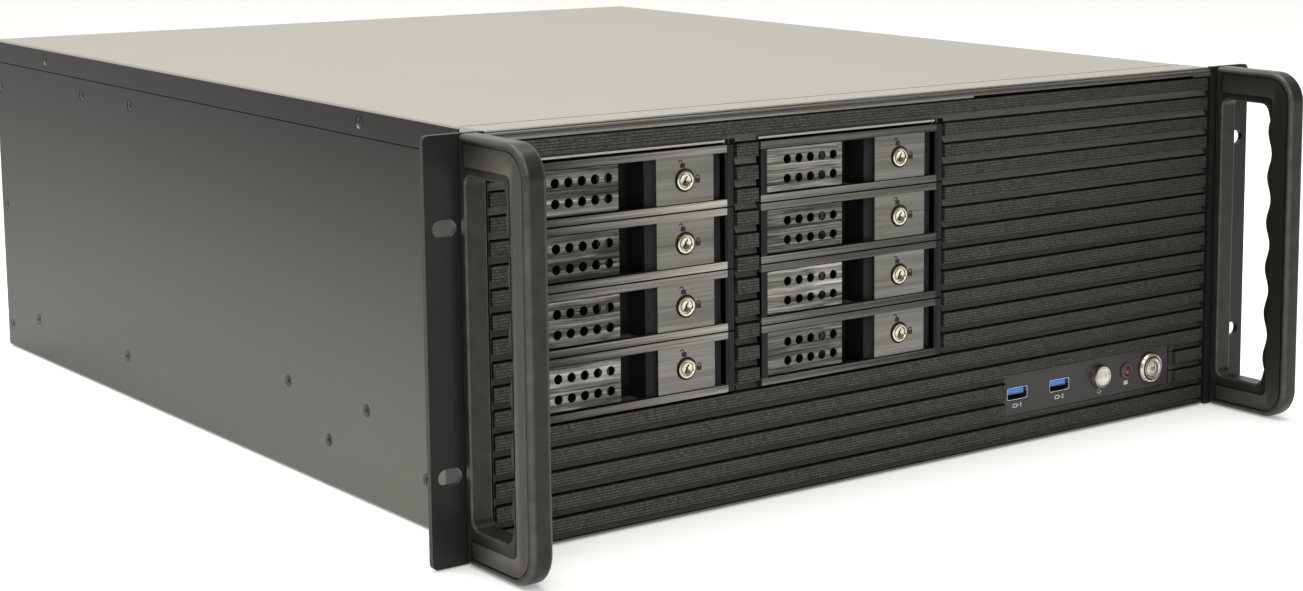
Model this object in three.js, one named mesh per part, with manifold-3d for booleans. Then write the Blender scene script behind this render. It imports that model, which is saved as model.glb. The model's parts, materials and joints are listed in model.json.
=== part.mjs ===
// Rack-mount NAS enclosure, four rack units high, with eight hot-swap drive trays in two stacks of four.
// Frame: millimetres, +Z up, +X to the right as seen from the front, +Y towards the rear.
// Inside this file Y = 0 is the front face of the louvred bezel and of the rack ears; the exported
// group is moved so that the origin is the bottom centre of the whole object's bounding box.
import * as THREE from 'three';
import { mergeVertices } from 'three/addons/utils/BufferGeometryUtils.js';
import Module from 'manifold-3d';

const wasm = await Module();
wasm.setup();
const { Manifold, Mesh: SolidMesh } = wasm;

// ---------------------------------------------------------------- driving dimensions (mm)
const RACK_WIDTH = 482.6;       // over the ears, 19 inch rack
const PANEL_HEIGHT = 177.0;     // 4 rack units, 4 x 44.45 less the usual 0.8 clearance
const BODY_WIDTH = 426.0;       // over the side walls
const BODY_REAR = 539.3;        // rear end of the case
const HANDLE_FRONT = -51.9;     // front of the handles
const SHEET = 1.2;              // case sheet thickness
const TOP = 176.7;              // top of the cover
const COVER_SKIRT_Z = 164.3;    // lower edge of the cover's side skirts
const COVER_FRONT = 20.9;       // front edge of the lift-off cover
const EAR_PLATE = 2.7;
const EAR_SLOT_X = 232.5, EAR_SLOT_Z = [37.7, 139.3], EAR_SLOT_L = 10.9, EAR_SLOT_H = 7.0;
const HANDLE_X = [216.2, 226.3];
const LOUVRE_PITCH = 10.05, LOUVRE_TOP = 161.6, LOUVRE_DEPTH = 2.5, SLIT_H = 0.6, BAND_H = 3.8;
const MODULE_X = [-143.3, -23.0];   // centre lines of the two drive stacks
const ROW_Z = [148.2, 120.75, 93.3, 65.85]; // centre heights of the trays
const TRAY_HALF_W = 52.6, TRAY_HALF_H = 13.4;
const BAY_X = 53.2, BAY_Z = [51.95, 163.9];
const DOOR_X = [50.2, 200.4], DOOR_Z = [41.25, 172.3];
const PLATE_X = [74.2, 187.8], PLATE_Z = [14.4, 34.8];
const LOCK_X = 27.7;               // from the stack's centre line
const LEVER_PIVOT = 46.4;          // left of the stack's centre line
const YC = (BODY_REAR + HANDLE_FRONT) / 2;

// ---------------------------------------------------------------- solid helpers
function solid(geometry) {
  const g = geometry.index ? geometry.toNonIndexed() : geometry.clone();
  g.deleteAttribute('normal');
  g.deleteAttribute('uv');
  const m = mergeVertices(g, 1e-4);
  return new Manifold(new SolidMesh({
    numProp: 3,
    vertProperties: new Float32Array(m.attributes.position.array),
    triVerts: new Uint32Array(m.index.array),
  }));
}
function box(x0, x1, y0, y1, z0, z1) {
  const g = new THREE.BoxGeometry(x1 - x0, y1 - y0, z1 - z0);
  g.translate((x0 + x1) / 2, (y0 + y1) / 2, (z0 + z1) / 2);
  return solid(g);
}
const V3 = (x, y, z) => new THREE.Vector3(x, y, z);
const BASIS = {
  x: new THREE.Matrix4().makeBasis(V3(0, 1, 0), V3(0, 0, 1), V3(1, 0, 0)),   // (a, b) = (Y, Z)
  y: new THREE.Matrix4().makeBasis(V3(1, 0, 0), V3(0, 0, 1), V3(0, -1, 0)),  // (a, b) = (X, Z)
  z: new THREE.Matrix4(),                                                   // (a, b) = (X, Y)
};
// Extrudes an outline, given as [a, b] points, along one axis from lo to hi.
function prism(axis, outline, lo, hi, holes = []) {
  const shape = new THREE.Shape(outline.map(([a, b]) => new THREE.Vector2(a, b)));
  for (const h of holes) shape.holes.push(new THREE.Path(h.map(([a, b]) => new THREE.Vector2(a, b))));
  const g = new THREE.ExtrudeGeometry(shape, { depth: hi - lo, bevelEnabled: false });
  g.applyMatrix4(BASIS[axis]);
  if (axis === 'x') g.translate(lo, 0, 0);
  if (axis === 'y') g.translate(0, hi, 0);
  if (axis === 'z') g.translate(0, 0, lo);
  return solid(g);
}
function ring(ca, cb, r, n, phase = 0) {
  return Array.from({ length: n }, (_, i) => {
    const t = phase + (2 * Math.PI * i) / n;
    return [ca + r * Math.cos(t), cb + r * Math.sin(t)];
  });
}
function rounded(a0, a1, b0, b1, r, n = 4) {
  const rr = Array.isArray(r) ? r : [r, r, r, r]; // corners a0b0, a1b0, a1b1, a0b1
  const c = [[a0, b0, 180], [a1, b0, 270], [a1, b1, 0], [a0, b1, 90]];
  const s = [[1, 1], [-1, 1], [-1, -1], [1, -1]];
  const out = [];
  c.forEach(([a, b, deg], k) => {
    if (rr[k] <= 0) { out.push([a, b]); return; }
    for (let i = 0; i <= n; i++) {
      const t = ((deg + (90 * i) / n) * Math.PI) / 180;
      out.push([a + s[k][0] * rr[k] + rr[k] * Math.cos(t), b + s[k][1] * rr[k] + rr[k] * Math.sin(t)]);
    }
  });
  return out;
}
const rod = (axis, ca, cb, r, lo, hi, n = 16, phase = 0) => prism(axis, ring(ca, cb, r, n, phase), lo, hi);
const union = (...s) => s.flat().reduce((p, q) => p.add(q));
const cut = (base, ...s) => s.flat().reduce((p, q) => p.subtract(q), base);
function mirrorX(s) {
  const m = s.getMesh(), n = m.numProp;
  const v = new Float32Array(m.numVert * 3);
  for (let i = 0; i < m.numVert; i++) {
    v[3 * i] = -m.vertProperties[n * i];
    v[3 * i + 1] = m.vertProperties[n * i + 1];
    v[3 * i + 2] = m.vertProperties[n * i + 2];
  }
  const t = new Uint32Array(m.triVerts);
  for (let i = 0; i < t.length; i += 3) [t[i + 1], t[i + 2]] = [t[i + 2], t[i + 1]];
  return new Manifold(new SolidMesh({ numProp: 3, vertProperties: v, triVerts: t }));
}
function toGeometry(s) {
  const m = s.getMesh(), n = m.numProp;
  const v = new Float32Array(m.numVert * 3);
  for (let i = 0; i < m.numVert; i++) {
    for (let k = 0; k < 3; k++) v[3 * i + k] = m.vertProperties[n * i + k];
  }
  const g = new THREE.BufferGeometry();
  g.setAttribute('position', new THREE.BufferAttribute(v, 3));
  g.setIndex(new THREE.BufferAttribute(new Uint32Array(m.triVerts), 1));
  g.computeVertexNormals();
  return g;
}

// ---------------------------------------------------------------- materials
const mat = (color, roughness, metalness) => new THREE.MeshStandardMaterial({ color, roughness, metalness });
const CASE_STEEL = mat(0x8a877d, 0.42, 0.75);
const BLACK_COAT = mat(0x2a2b29, 0.55, 0.3);
const HANDLE_GREY = mat(0x34342f, 0.45, 0.5);
const TRAY_DARK = mat(0x4b4a45, 0.35, 0.8);
const BRUSHED = mat(0x8d8b82, 0.3, 0.95);
const LOCK_METAL = mat(0xc9c3a4, 0.22, 1.0);
const INNER_STEEL = mat(0x9a9b98, 0.45, 0.8);
const BOARD_GREEN = mat(0x17462c, 0.5, 0.1);
const FAN_BLACK = mat(0x1a1a1b, 0.5, 0.0);
const USB_METAL = mat(0xb9b7ae, 0.25, 1.0);
const LED_RED = mat(0x8f1410, 0.15, 0.0);
const FILTER_MESH = mat(0x20211f, 0.9, 0.0);

const enclosure = new THREE.Group();
enclosure.name = 'nas_enclosure';
function add(name, s, material) {
  const mesh = new THREE.Mesh(toGeometry(s), material);
  mesh.name = name;
  enclosure.add(mesh);
  return mesh;
}

const H = BODY_WIDTH / 2; // 213

// ---------------------------------------------------------------- base pan: floor and two side walls, joggled inwards under the cover
{
  const floor = box(-H, H, 1.0, BODY_REAR, 0, SHEET);
  const side = union(
    box(-H, -H + SHEET, 3.3, BODY_REAR, 0, 163.9),
    box(-H, -H + 3.0, 22.0, BODY_REAR - 3.2, 162.7, 163.9),
    box(-H + 1.8, -H + 3.0, 22.0, BODY_REAR - 3.2, 162.7, 174.6),
  );
  add('base_pan', union(floor, side, mirrorX(side)), CASE_STEEL);
}

// ---------------------------------------------------------------- front wall behind the bezel, with the lip that carries the bezel's top edge
{
  let s = box(-209.4, 209.4, 6.0, 7.2, 1.5, 175.9);
  const cheek = box(-H, -H + SHEET, 3.3, 20.5, COVER_SKIRT_Z, TOP);
  s = union(s, box(-H, H, 3.3, 20.5, 175.5, TOP), cheek, mirrorX(cheek));
  const holes = MODULE_X.map((x) => box(x - 54.9, x + 54.9, 5, 8, 50.1, 164.5));
  holes.push(box(58, 192, 5, 8, 46, 168));   // air inlet behind the filter door
  holes.push(box(72, 190, 5, 8, 12, 37));    // controls
  add('front_wall', cut(s, holes), INNER_STEEL);
}

// ---------------------------------------------------------------- top cover: lifts off, side skirts outside the pan's joggled edge
{
  const top = prism('z', rounded(-H, H, COVER_FRONT, BODY_REAR, [0, 0, 3, 3], 2), TOP - SHEET, TOP);
  const skirt = prism('x', rounded(COVER_FRONT, BODY_REAR, COVER_SKIRT_Z, TOP - 0.2, [0, 3, 0, 0], 3), -H, -H + SHEET);
  const rear = box(-H + 0.2, H - 0.2, BODY_REAR - SHEET, BODY_REAR - 0.2, 165.8, TOP - 0.2);
  add('top_cover', union(top, skirt, mirrorX(skirt), rear), CASE_STEEL);
}

// ---------------------------------------------------------------- rear panel
const IO = [-54, 104.75, 9, 53.45], PSU = [122, 200, 8, 148];
const SLOT_X = Array.from({ length: 7 }, (_, i) => -70.5 - 20.32 * i);
{
  const y0 = BODY_REAR - 3.0, y1 = BODY_REAR - 1.8;
  // the panel's upper part, open downwards over the port plate and the slots, and stepped for the power supply's plate
  const s = box(-209.0, 209.0, y0, y1, 9.0, 173.6);
  const holes = [
    box(IO[0], IO[1], y0 - 1, y1 + 1, 8, IO[3]),
    box(113.9, 210, y0 - 1, y1 + 1, 8, 157),
    box(SLOT_X[6] - 7.2, SLOT_X[0] + 7.2, y0 - 1, y1 + 1, 8, 114),
  ];
  for (const cx of [-14, 66]) {
    for (let i = 0; i < 8; i++) holes.push(box(cx - 33, cx + 33, y0 - 1, y1 + 1, 74 + 8.6 * i, 78.4 + 8.6 * i));
  }
  add('rear_panel', cut(s, holes), CASE_STEEL);
  // bottom rail under the port plate and the slots
  add('rear_sill', box(-209.0, 113.6, y0, y1, 1.5, 8.8), CASE_STEEL);
  // plate that the power supply screws to
  const plate = box(114.2, 209.0, y0, y1, 1.5, 156.7);
  add('psu_plate', cut(plate, box(PSU[0], PSU[1], y0 - 1, y1 + 1, PSU[2], PSU[3])), CASE_STEEL);
  // blanking strip over the seven expansion slots
  const b0 = y0 - 1.5, b1 = y0 - 0.4;
  let strip = box(SLOT_X[6] - 9.6, SLOT_X[0] + 9.6, b0, b1, 10, 120);
  strip = strip.add(box(SLOT_X[6] - 9.6, SLOT_X[0] + 9.6, b0 - 10, b1, 118.9, 120));
  const gaps = SLOT_X.slice(1).map((x) => box(x + 9.16, x + 11.16, b0 - 1, b1 + 1, 16, 112));
  add('slot_blanks', cut(strip, gaps), INNER_STEEL);
}

// ---------------------------------------------------------------- louvred front: one profile shared by the bezel and the filter door
const ribTop = (k) => LOUVRE_TOP - LOUVRE_PITCH * k;
function louvreProfile(zLow, zHigh, back) {
  // (Y, Z) outline from the lower front corner upwards; k counts the ribs downwards
  const pts = [];
  const push = (y, z) => pts.push([y, Math.min(Math.max(z, zLow), zHigh)]);
  const front = [];
  for (let k = 16; k >= -1; k--) {
    const z = ribTop(k), zNext = ribTop(k - 1);
    front.push([4.6, z], [4.6, z + SLIT_H], [LOUVRE_DEPTH, z + SLIT_H], [LOUVRE_DEPTH, z + BAND_H], [0, z + BAND_H]);
    front.push([0, k === -1 ? TOP : zNext]);
  }
  // keep what lies between the two heights
  const keep = [];
  const yAt = (z) => {
    for (let i = 0; i + 1 < front.length; i++) {
      if (front[i][1] <= z && z <= front[i + 1][1] && front[i][1] !== front[i + 1][1]) return front[i][0];
    }
    return 0;
  };
  keep.push([yAt(zLow + 1e-6), zLow]);
  for (const [y, z] of front) if (z > zLow + 1e-6 && z < zHigh - 1e-6) keep.push([y, z]);
  keep.push([yAt(zHigh - 1e-6), zHigh]);
  for (const [y, z] of keep) push(y, z);
  pts.push([back, zHigh], [back, zLow]);
  return pts.reverse().filter((p, i, a) => i === 0 || Math.hypot(p[0] - a[i - 1][0], p[1] - a[i - 1][1]) > 1e-6);
}
{
  let s = prism('x', louvreProfile(1.5, 175.2, 5.5), -211.3, 211.3);
  // plain upper border and the thin return over the side edges
  s = s.add(box(-211.3, 211.3, 0.6, 3.0, 175.0, TOP));
  const holes = MODULE_X.map((x) => box(x - BAY_X, x + BAY_X, -2, 9, BAY_Z[0], BAY_Z[1]));
  holes.push(box(DOOR_X[0], DOOR_X[1], -2, 9, DOOR_Z[0], DOOR_Z[1] + 0.9));
  holes.push(box(PLATE_X[0] - 0.3, PLATE_X[1] + 0.3, 1.9, 9, PLATE_Z[0] - 0.3, PLATE_Z[1] + 0.3));
  holes.push(box(72.8, 191.4, -2, 2.0, PLATE_Z[0] - 0.3, PLATE_Z[1] + 0.3));
  add('front_bezel', cut(s, holes), BLACK_COAT);
  const door = prism('x', louvreProfile(DOOR_Z[0] + 0.35, DOOR_Z[1] - 0.5, 5.3), DOOR_X[0] + 0.35, DOOR_X[1] - 0.35);
  add('filter_door', cut(door, box(60, 190, LOUVRE_DEPTH + 1.2, 9, 52, 162)), BLACK_COAT);
}
// foam filter panel in its frame, behind the door
{
  const f = box(56, 194, 7.6, 11.6, 44, 170);
  add('dust_filter', cut(f, box(60, 190, 7, 8.6, 48, 166)), FILTER_MESH);
}

// ---------------------------------------------------------------- rack ears with rack slots, and their side flanges outside the walls
{
  const outline = rounded(213.5, RACK_WIDTH / 2, 0, PANEL_HEIGHT, [0, 2.2, 2.2, 0], 2);
  const slot = (z) => {
    const r = EAR_SLOT_H / 2, e = EAR_SLOT_L / 2 - r, pts = [];
    for (let i = 0; i <= 5; i++) { const t = -Math.PI / 2 + (Math.PI * i) / 5; pts.push([EAR_SLOT_X + e + r * Math.cos(t), z + r * Math.sin(t)]); }
    for (let i = 0; i <= 5; i++) { const t = Math.PI / 2 + (Math.PI * i) / 5; pts.push([EAR_SLOT_X - e + r * Math.cos(t), z + r * Math.sin(t)]); }
    return pts;
  };
  const plate = prism('y', outline, 0, EAR_PLATE, EAR_SLOT_Z.map(slot));
  const ear = plate.add(box(213.5, 215.5, 1.0, 34, 6, 160));
  add('rack_ear_right', ear, BLACK_COAT);
  add('rack_ear_left', mirrorX(ear), BLACK_COAT);
}

// ---------------------------------------------------------------- D handles with a scalloped grip
{
  const outer = rounded(HANDLE_FRONT, -0.3, 0, PANEL_HEIGHT, [15, 1.5, 1.5, 15], 5);
  const inner = [];
  const a0 = -37.6, a1 = -5.8, z0 = 16.2, z1 = 160.6, pitch = 23.3;
  // opening, clockwise from the lower rear corner
  const corner = (ca, cb, deg0, r) => { for (let i = 0; i <= 3; i++) { const t = ((deg0 + 30 * i) * Math.PI) / 180; inner.push([ca + r * Math.cos(t), cb + r * Math.sin(t)]); } };
  corner(a1 - 4, z0 + 4, 270, 4);
  corner(a1 - 4, z1 - 4, 0, 4);
  inner.push([a0 + 6, z1]);
  for (let i = 0; i <= 36; i++) {
    const z = z1 - 4 - (i * (z1 - z0 - 8)) / 36;
    inner.push([a0 + 1.3 * Math.cos((2 * Math.PI * (z - 30.8)) / pitch), z]);
  }
  inner.push([a0 + 6, z0]);
  const s = prism('x', outer, HANDLE_X[0], HANDLE_X[1], [inner]);
  add('handle_right', s, HANDLE_GREY);
  add('handle_left', mirrorX(s), HANDLE_GREY);
}

// ---------------------------------------------------------------- drive stacks: cage, backplane, four trays each with lever and key lock
const SIDES = ['left', 'right'];
MODULE_X.forEach((xc, m) => {
  const w = 54.6, t = SHEET;
  let cage = union(
    box(xc - w, xc - w + t, 7.6, 190, 49.9, 164.2),
    box(xc + w - t, xc + w, 7.6, 190, 49.9, 164.2),
    box(xc - w, xc + w, 7.6, 190, 163.2, 164.2),
    box(xc - w, xc + w, 7.6, 190, 49.9, 51.0),
    box(xc - w, xc - w + t, 60, 180, 1.5, 51),
    box(xc + w - t, xc + w, 60, 180, 1.5, 51),
    box(xc - w, xc - w + 9, 60, 180, 1.5, 2.7),
    box(xc + w - 9, xc + w, 60, 180, 1.5, 2.7),
  );
  for (const z of ROW_Z) {
    cage = cage.add(box(xc - w + 0.4, xc - 52.2, 12, 188, z - 14.35, z - 13.25));
    cage = cage.add(box(xc + 52.2, xc + w - 0.4, 12, 188, z - 14.35, z - 13.25));
  }
  add('drive_cage_' + SIDES[m], cage, INNER_STEEL);

  let board = box(xc - 53, xc + 53, 190.4, 192.0, 50.5, 163.5);
  for (const z of ROW_Z) {
    board = board.add(box(xc - 24, xc + 20, 175.5, 191, z - 9.6, z - 3.2));
    board = board.add(box(xc - 44, xc - 30, 191, 198, z - 6, z + 2));
  }
  board = cut(board, [1, 2, 3].map((i) => box(xc - 40, xc + 40, 190, 193, ROW_Z[i] + 9.5, ROW_Z[i] + 17.5)));
  add('backplane_' + SIDES[m], board, BOARD_GREEN);

  ROW_Z.forEach((zc, r) => {
    const n = m * 4 + r + 1;
    const hw = TRAY_HALF_W, hh = TRAY_HALF_H;
    // front ring
    let tray = prism('y', rounded(xc - hw, xc + hw, zc - hh, zc + hh, 1.2, 1), -0.6, 3.2,
      [rounded(xc - 49.2, xc + 48.3, zc - 10.3, zc + 10.3, 0, 1).reverse()]);
    // floor, side rails and rear cross bar
    tray = union(tray,
      box(xc - 52.2, xc - 51.1, 2.6, 172, zc - 12.9, zc + 1.5),
      box(xc + 51.1, xc + 52.2, 2.6, 172, zc - 12.9, zc + 1.5),
      box(xc - 52.2, xc + 52.2, 2.6, 40, zc - 12.9, zc - 11.9),
      box(xc - 52.2, xc - 40, 30, 172, zc - 12.9, zc - 11.9),
      box(xc + 40, xc + 52.2, 30, 172, zc - 12.9, zc - 11.9),
      box(xc - 52.2, xc + 52.2, 120, 140, zc - 12.9, zc - 11.9),
      // lock housing and its raised face plate
      box(xc + 7.8, xc + 47.4, 2.2, 17, zc - 10.8, zc + 10.8),
      box(xc + 7.8, xc + 47.4, 2.2, 4, zc - 12.4, zc + 10.9),
      box(xc + 13.0, xc + 42.8, 0.9, 2.6, zc - 10.1, zc + 10.1),
      // finger recess back wall
      box(xc - 7, xc + 8.5, 15.5, 17, zc - 12.4, zc + 10.8),
    );
    tray = cut(tray, rod('y', xc + LOCK_X, zc, 4.7, -1, 14.2, 12));
    add('drive_tray_' + n, tray, TRAY_DARK);

    // lever: perforated plate with a folded finger edge, pivoting about its left end
    let lever = box(xc - 48.2, xc - 5.9, 0.9, 2.1, zc - 9.95, zc + 9.95);
    lever = lever.add(box(xc - 7.1, xc - 5.9, 0.9, 8.0, zc - 9.2, zc + 9.2));
    lever = lever.add(rod('z', xc - LEVER_PIVOT, 2.6, 1.3, zc - 9.4, zc + 9.4, 8));
    const holes = [];
    for (let i = 0; i < 5; i++) for (const dz of [-4.35, 4.35]) holes.push(rod('y', xc - 36.9 + 6.5 * i, zc + dz, 2.1, 0, 3, 6));
    add('tray_lever_' + n, cut(lever, holes), TRAY_DARK);

    // key lock barrel with its key slot
    let lock = rod('y', xc + LOCK_X, zc, 4.35, -0.5, 13.8, 16);
    lock = cut(lock, box(xc + LOCK_X - 0.6, xc + LOCK_X + 0.6, -1, 4, zc - 0.4, zc + 2.9));
    add('key_lock_' + n, lock, LOCK_METAL);
  });
});

// ---------------------------------------------------------------- control plate with USB sockets, buttons and light
const CTRL_Y = 2.4, CTRL_Z = 24.9;
const USB_X = [82.4, 110.8], RESET_X = 138.2, LED_X = 157.4, POWER_X = 174.1;
{
  let s = box(PLATE_X[0], PLATE_X[1], CTRL_Y, CTRL_Y + 1.6, PLATE_Z[0], PLATE_Z[1]);
  const holes = USB_X.map((x) => box(x - 7.0, x + 7.0, 1, 6, CTRL_Z - 3.4, CTRL_Z + 3.4));
  holes.push(rod('y', RESET_X, CTRL_Z + 0.6, 6.2, 1, 6, 16));
  holes.push(rod('y', LED_X, CTRL_Z + 0.6, 2.9, 1, 6, 12));
  holes.push(rod('y', POWER_X, CTRL_Z, 6.9, 1, 6, 16));
  add('control_plate', cut(s, holes), BLACK_COAT);
  USB_X.forEach((x, i) => {
    let u = cut(box(x - 6.7, x + 6.7, 1.9, 16, CTRL_Z - 3.05, CTRL_Z + 3.05),
      box(x - 6.2, x + 6.2, 1, 14, CTRL_Z - 2.6, CTRL_Z + 2.6));
    u = u.add(box(x - 5.6, x + 5.6, 3.0, 15, CTRL_Z + 0.2, CTRL_Z + 2.05));
    add('usb_port_' + (i + 1), u, USB_METAL);
  });
  const button = (x, z, r, y0, y1, rs) => union(rod('y', x, z, r, y0, CTRL_Y + 6, 20), rod('y', x, z, rs, CTRL_Y + 4, y1, 10));
  add('reset_button', button(RESET_X, CTRL_Z + 0.6, 5.75, -1.0, 16, 3), USB_METAL);
  const ringSolid = cut(union(rod('y', POWER_X, CTRL_Z, 7.75, -0.3, 2.1, 24), rod('y', POWER_X, CTRL_Z, 6.6, 1.5, 13, 20)), rod('y', POWER_X, CTRL_Z, 5.9, -2, 14, 20));
  add('power_button_ring', ringSolid, USB_METAL);
  add('power_button', button(POWER_X, CTRL_Z, 5.55, -0.9, 16, 3), USB_METAL);
  add('hdd_light', union(rod('y', LED_X, CTRL_Z + 0.6, 2.6, 0.6, 8, 12), rod('y', LED_X, CTRL_Z + 0.6, 3.8, 1.4, 2.1, 12)), LED_RED);
  let pcb = box(74.5, 187.5, 18.6, 20.2, 15, 35);
  add('control_board', pcb, BOARD_GREEN);
}

// ---------------------------------------------------------------- fan wall with three 120 mm fans
const FAN_X = [-124, 0, 124], FAN_Z = 64, FAN_Y = [216.6, 241.6];
{
  let s = box(-210.8, 210.8, 215.0, 216.2, 1.5, 150);
  s = s.add(box(-210.8, 210.8, 205, 216.2, 148.8, 150));
  add('fan_wall', cut(s, FAN_X.map((x) => rod('y', x, FAN_Z, 57, 214, 218, 24))), INNER_STEEL);
  FAN_X.forEach((x, i) => {
    let frame = cut(prism('y', rounded(x - 60, x + 60, FAN_Z - 60, FAN_Z + 60, 5, 1), FAN_Y[0], FAN_Y[1]),
      rod('y', x, FAN_Z, 57.5, FAN_Y[0] - 1, FAN_Y[1] + 1, 24));
    frame = union(frame, rod('y', x, FAN_Z, 22, FAN_Y[1] - 3, FAN_Y[1], 12),
      box(x - 58.5, x + 58.5, FAN_Y[1] - 2.6, FAN_Y[1] - 0.4, FAN_Z - 2.5, FAN_Z + 2.5),
      box(x - 2.5, x + 2.5, FAN_Y[1] - 2.6, FAN_Y[1] - 0.4, FAN_Z - 58.5, FAN_Z + 58.5));
    add('fan_frame_' + (i + 1), frame, FAN_BLACK);
    const hub = rod('y', x, FAN_Z, 21, FAN_Y[0] + 1.0, FAN_Y[1] - 3.6, 14);
    const blades = [];
    for (let b = 0; b < 7; b++) {
      const g = new THREE.BoxGeometry(36, 1.6, 26);
      g.rotateX(0.62);
      g.translate(37, 0, 0);
      g.rotateY((2 * Math.PI * b) / 7);
      g.translate(x, (FAN_Y[0] + FAN_Y[1]) / 2 - 1.4, FAN_Z);
      blades.push(solid(g));
    }
    add('fan_rotor_' + (i + 1), union(hub, blades), FAN_BLACK);
  });
}

// ---------------------------------------------------------------- main board tray with stand-offs, and the power supply bracket
{
  let s = box(-202, 112, 252, 530, 1.5, 2.7);
  for (const px of [-190, -112, 100]) for (const py of [296, 400, 520]) s = s.add(rod('z', px, py, 3.2, 2.4, 9.2, 6));
  add('board_tray', s, INNER_STEEL);
  const b = union(box(114.5, 115.7, 390, 530, 1.5, 158), box(114.5, 210.6, 390, 530, 156.8, 158), box(114.5, 124, 390, 530, 1.5, 2.7),
    box(209.4, 210.6, 390, 530, 146, 158));
  add('psu_bracket', cut(b, box(135, 190, 410, 510, 150, 160), box(110, 118, 410, 510, 30, 130)), INNER_STEEL);
}

enclosure.position.set(0, -YC, 0);
enclosure.updateMatrixWorld(true);
export default enclosure;
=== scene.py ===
import bpy, bmesh, json, math, random
from mathutils import Vector, Matrix
from mathutils.geometry import tessellate_polygon


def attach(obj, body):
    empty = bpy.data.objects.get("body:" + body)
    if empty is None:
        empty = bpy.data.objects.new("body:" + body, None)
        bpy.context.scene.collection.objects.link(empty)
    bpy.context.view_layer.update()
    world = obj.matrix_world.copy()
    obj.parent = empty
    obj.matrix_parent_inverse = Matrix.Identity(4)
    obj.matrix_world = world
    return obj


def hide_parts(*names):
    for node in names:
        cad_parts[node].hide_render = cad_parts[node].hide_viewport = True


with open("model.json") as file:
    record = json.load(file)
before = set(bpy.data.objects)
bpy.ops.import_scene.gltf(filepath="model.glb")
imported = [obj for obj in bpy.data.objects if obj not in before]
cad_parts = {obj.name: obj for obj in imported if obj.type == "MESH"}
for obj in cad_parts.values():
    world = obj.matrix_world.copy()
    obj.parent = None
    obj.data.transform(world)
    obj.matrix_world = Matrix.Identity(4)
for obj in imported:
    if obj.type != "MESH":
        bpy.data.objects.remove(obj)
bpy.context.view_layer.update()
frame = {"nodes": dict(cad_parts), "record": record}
NODES = frame["nodes"]
BODY = {n: b for b, ns in frame["record"]["behaviour"]["bodies"].items() for n in ns}
random.seed(7)

# ------------------------------------------------------------------ layout, millimetres, Y = 0 at the bezel's face
YC = 243.7
TOP, H, REAR = 176.7, 213.0, 539.3
MX = (-143.3, -23.0)
RZ = (148.2, 120.75, 93.3, 65.85)
PITCH, LOUVRE_TOP = 10.05, 161.6
CTRL_Z = 24.9


def W(x, y, z):
    return Vector((x * 0.001, (y - YC) * 0.001, z * 0.001))


AX = {"x": lambda a, b, t: (t, a, b), "y": lambda a, b, t: (a, t, b), "z": lambda a, b, t: (a, b, t)}


# ------------------------------------------------------------------ mesh helpers
def arc(ca, cb, r, d0, d1, n):
    return [(ca + r * math.cos(math.radians(d0 + (d1 - d0) * i / n)), cb + r * math.sin(math.radians(d0 + (d1 - d0) * i / n))) for i in range(n + 1)]


def circle(ca, cb, r, n=32, phase=0.0):
    return [(ca + r * math.cos(2 * math.pi * i / n + phase), cb + r * math.sin(2 * math.pi * i / n + phase)) for i in range(n)]


def rrect(a0, a1, b0, b1, r, n=5):
    rr = r if isinstance(r, (list, tuple)) else (r, r, r, r)
    out = []
    for (a, b, d, sa, sb), q in zip(((a0, b0, 180, 1, 1), (a1, b0, 270, -1, 1), (a1, b1, 0, -1, -1), (a0, b1, 90, 1, -1)), rr):
        if q <= 0:
            out.append((a, b))
        else:
            out += arc(a + sa * q, b + sb * q, q, d, d + 90, n)
    return out


def quads(bm, ra, rb, mat=0):
    n = len(ra)
    for i in range(n):
        f = bm.faces.new((ra[i], ra[(i + 1) % n], rb[(i + 1) % n], rb[i]))
        f.material_index = mat


def cap(bm, rings, loops, mat=0):
    if len(loops) == 1:
        f = bm.faces.new(rings[0])
        f.material_index = mat
        return
    flat = [[Vector((a, b, 0)) for a, b in lp] for lp in loops]
    allv = [v for r in rings for v in r]
    for t in tessellate_polygon(flat):
        try:
            f = bm.faces.new([allv[i] for i in t])
            f.material_index = mat
        except ValueError:
            pass


def prism(bm, axis, outline, lo, hi, holes=(), mat=0):
    f = AX[axis]
    loops = [outline] + list(holes)
    lows = [[bm.verts.new(W(*f(a, b, lo))) for a, b in lp] for lp in loops]
    highs = [[bm.verts.new(W(*f(a, b, hi))) for a, b in lp] for lp in loops]
    for a, b in zip(lows, highs):
        quads(bm, a, b, mat)
    cap(bm, lows, loops, mat)
    cap(bm, highs, loops, mat)
    return bm


def box(bm, x0, x1, y0, y1, z0, z1, mat=0):
    return prism(bm, "z", [(x0, y0), (x1, y0), (x1, y1), (x0, y1)], z0, z1, (), mat)


def lathe(bm, axis, ca, cb, prof, n=32, mat=0, phase=0.0, closed=False):
    """Turns (radius, along) points round an axis. A profile starts and ends on the axis, or is closed."""
    f = AX[axis]
    rows = []
    for r, t in prof:
        if r < 1e-6:
            rows.append([bm.verts.new(W(*f(ca, cb, t)))])
        else:
            rows.append([bm.verts.new(W(*f(a, b, t))) for a, b in circle(ca, cb, r, n, phase)])
    pairs = list(zip(rows, rows[1:])) + ([(rows[-1], rows[0])] if closed else [])
    for a, b in pairs:
        if len(a) == 1 and len(b) == 1:
            continue
        if len(a) == 1 or len(b) == 1:
            tip, ring = (a[0], b) if len(a) == 1 else (b[0], a)
            for i in range(n):
                fc = bm.faces.new((tip, ring[i], ring[(i + 1) % n]))
                fc.material_index = mat
        else:
            quads(bm, a, b, mat)
    return bm


def tidy(bm):
    bmesh.ops.remove_doubles(bm, verts=bm.verts, dist=2e-6)
    bmesh.ops.dissolve_degenerate(bm, dist=1e-6, edges=bm.edges)
    bmesh.ops.recalc_face_normals(bm, faces=bm.faces)
    return bm


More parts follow.
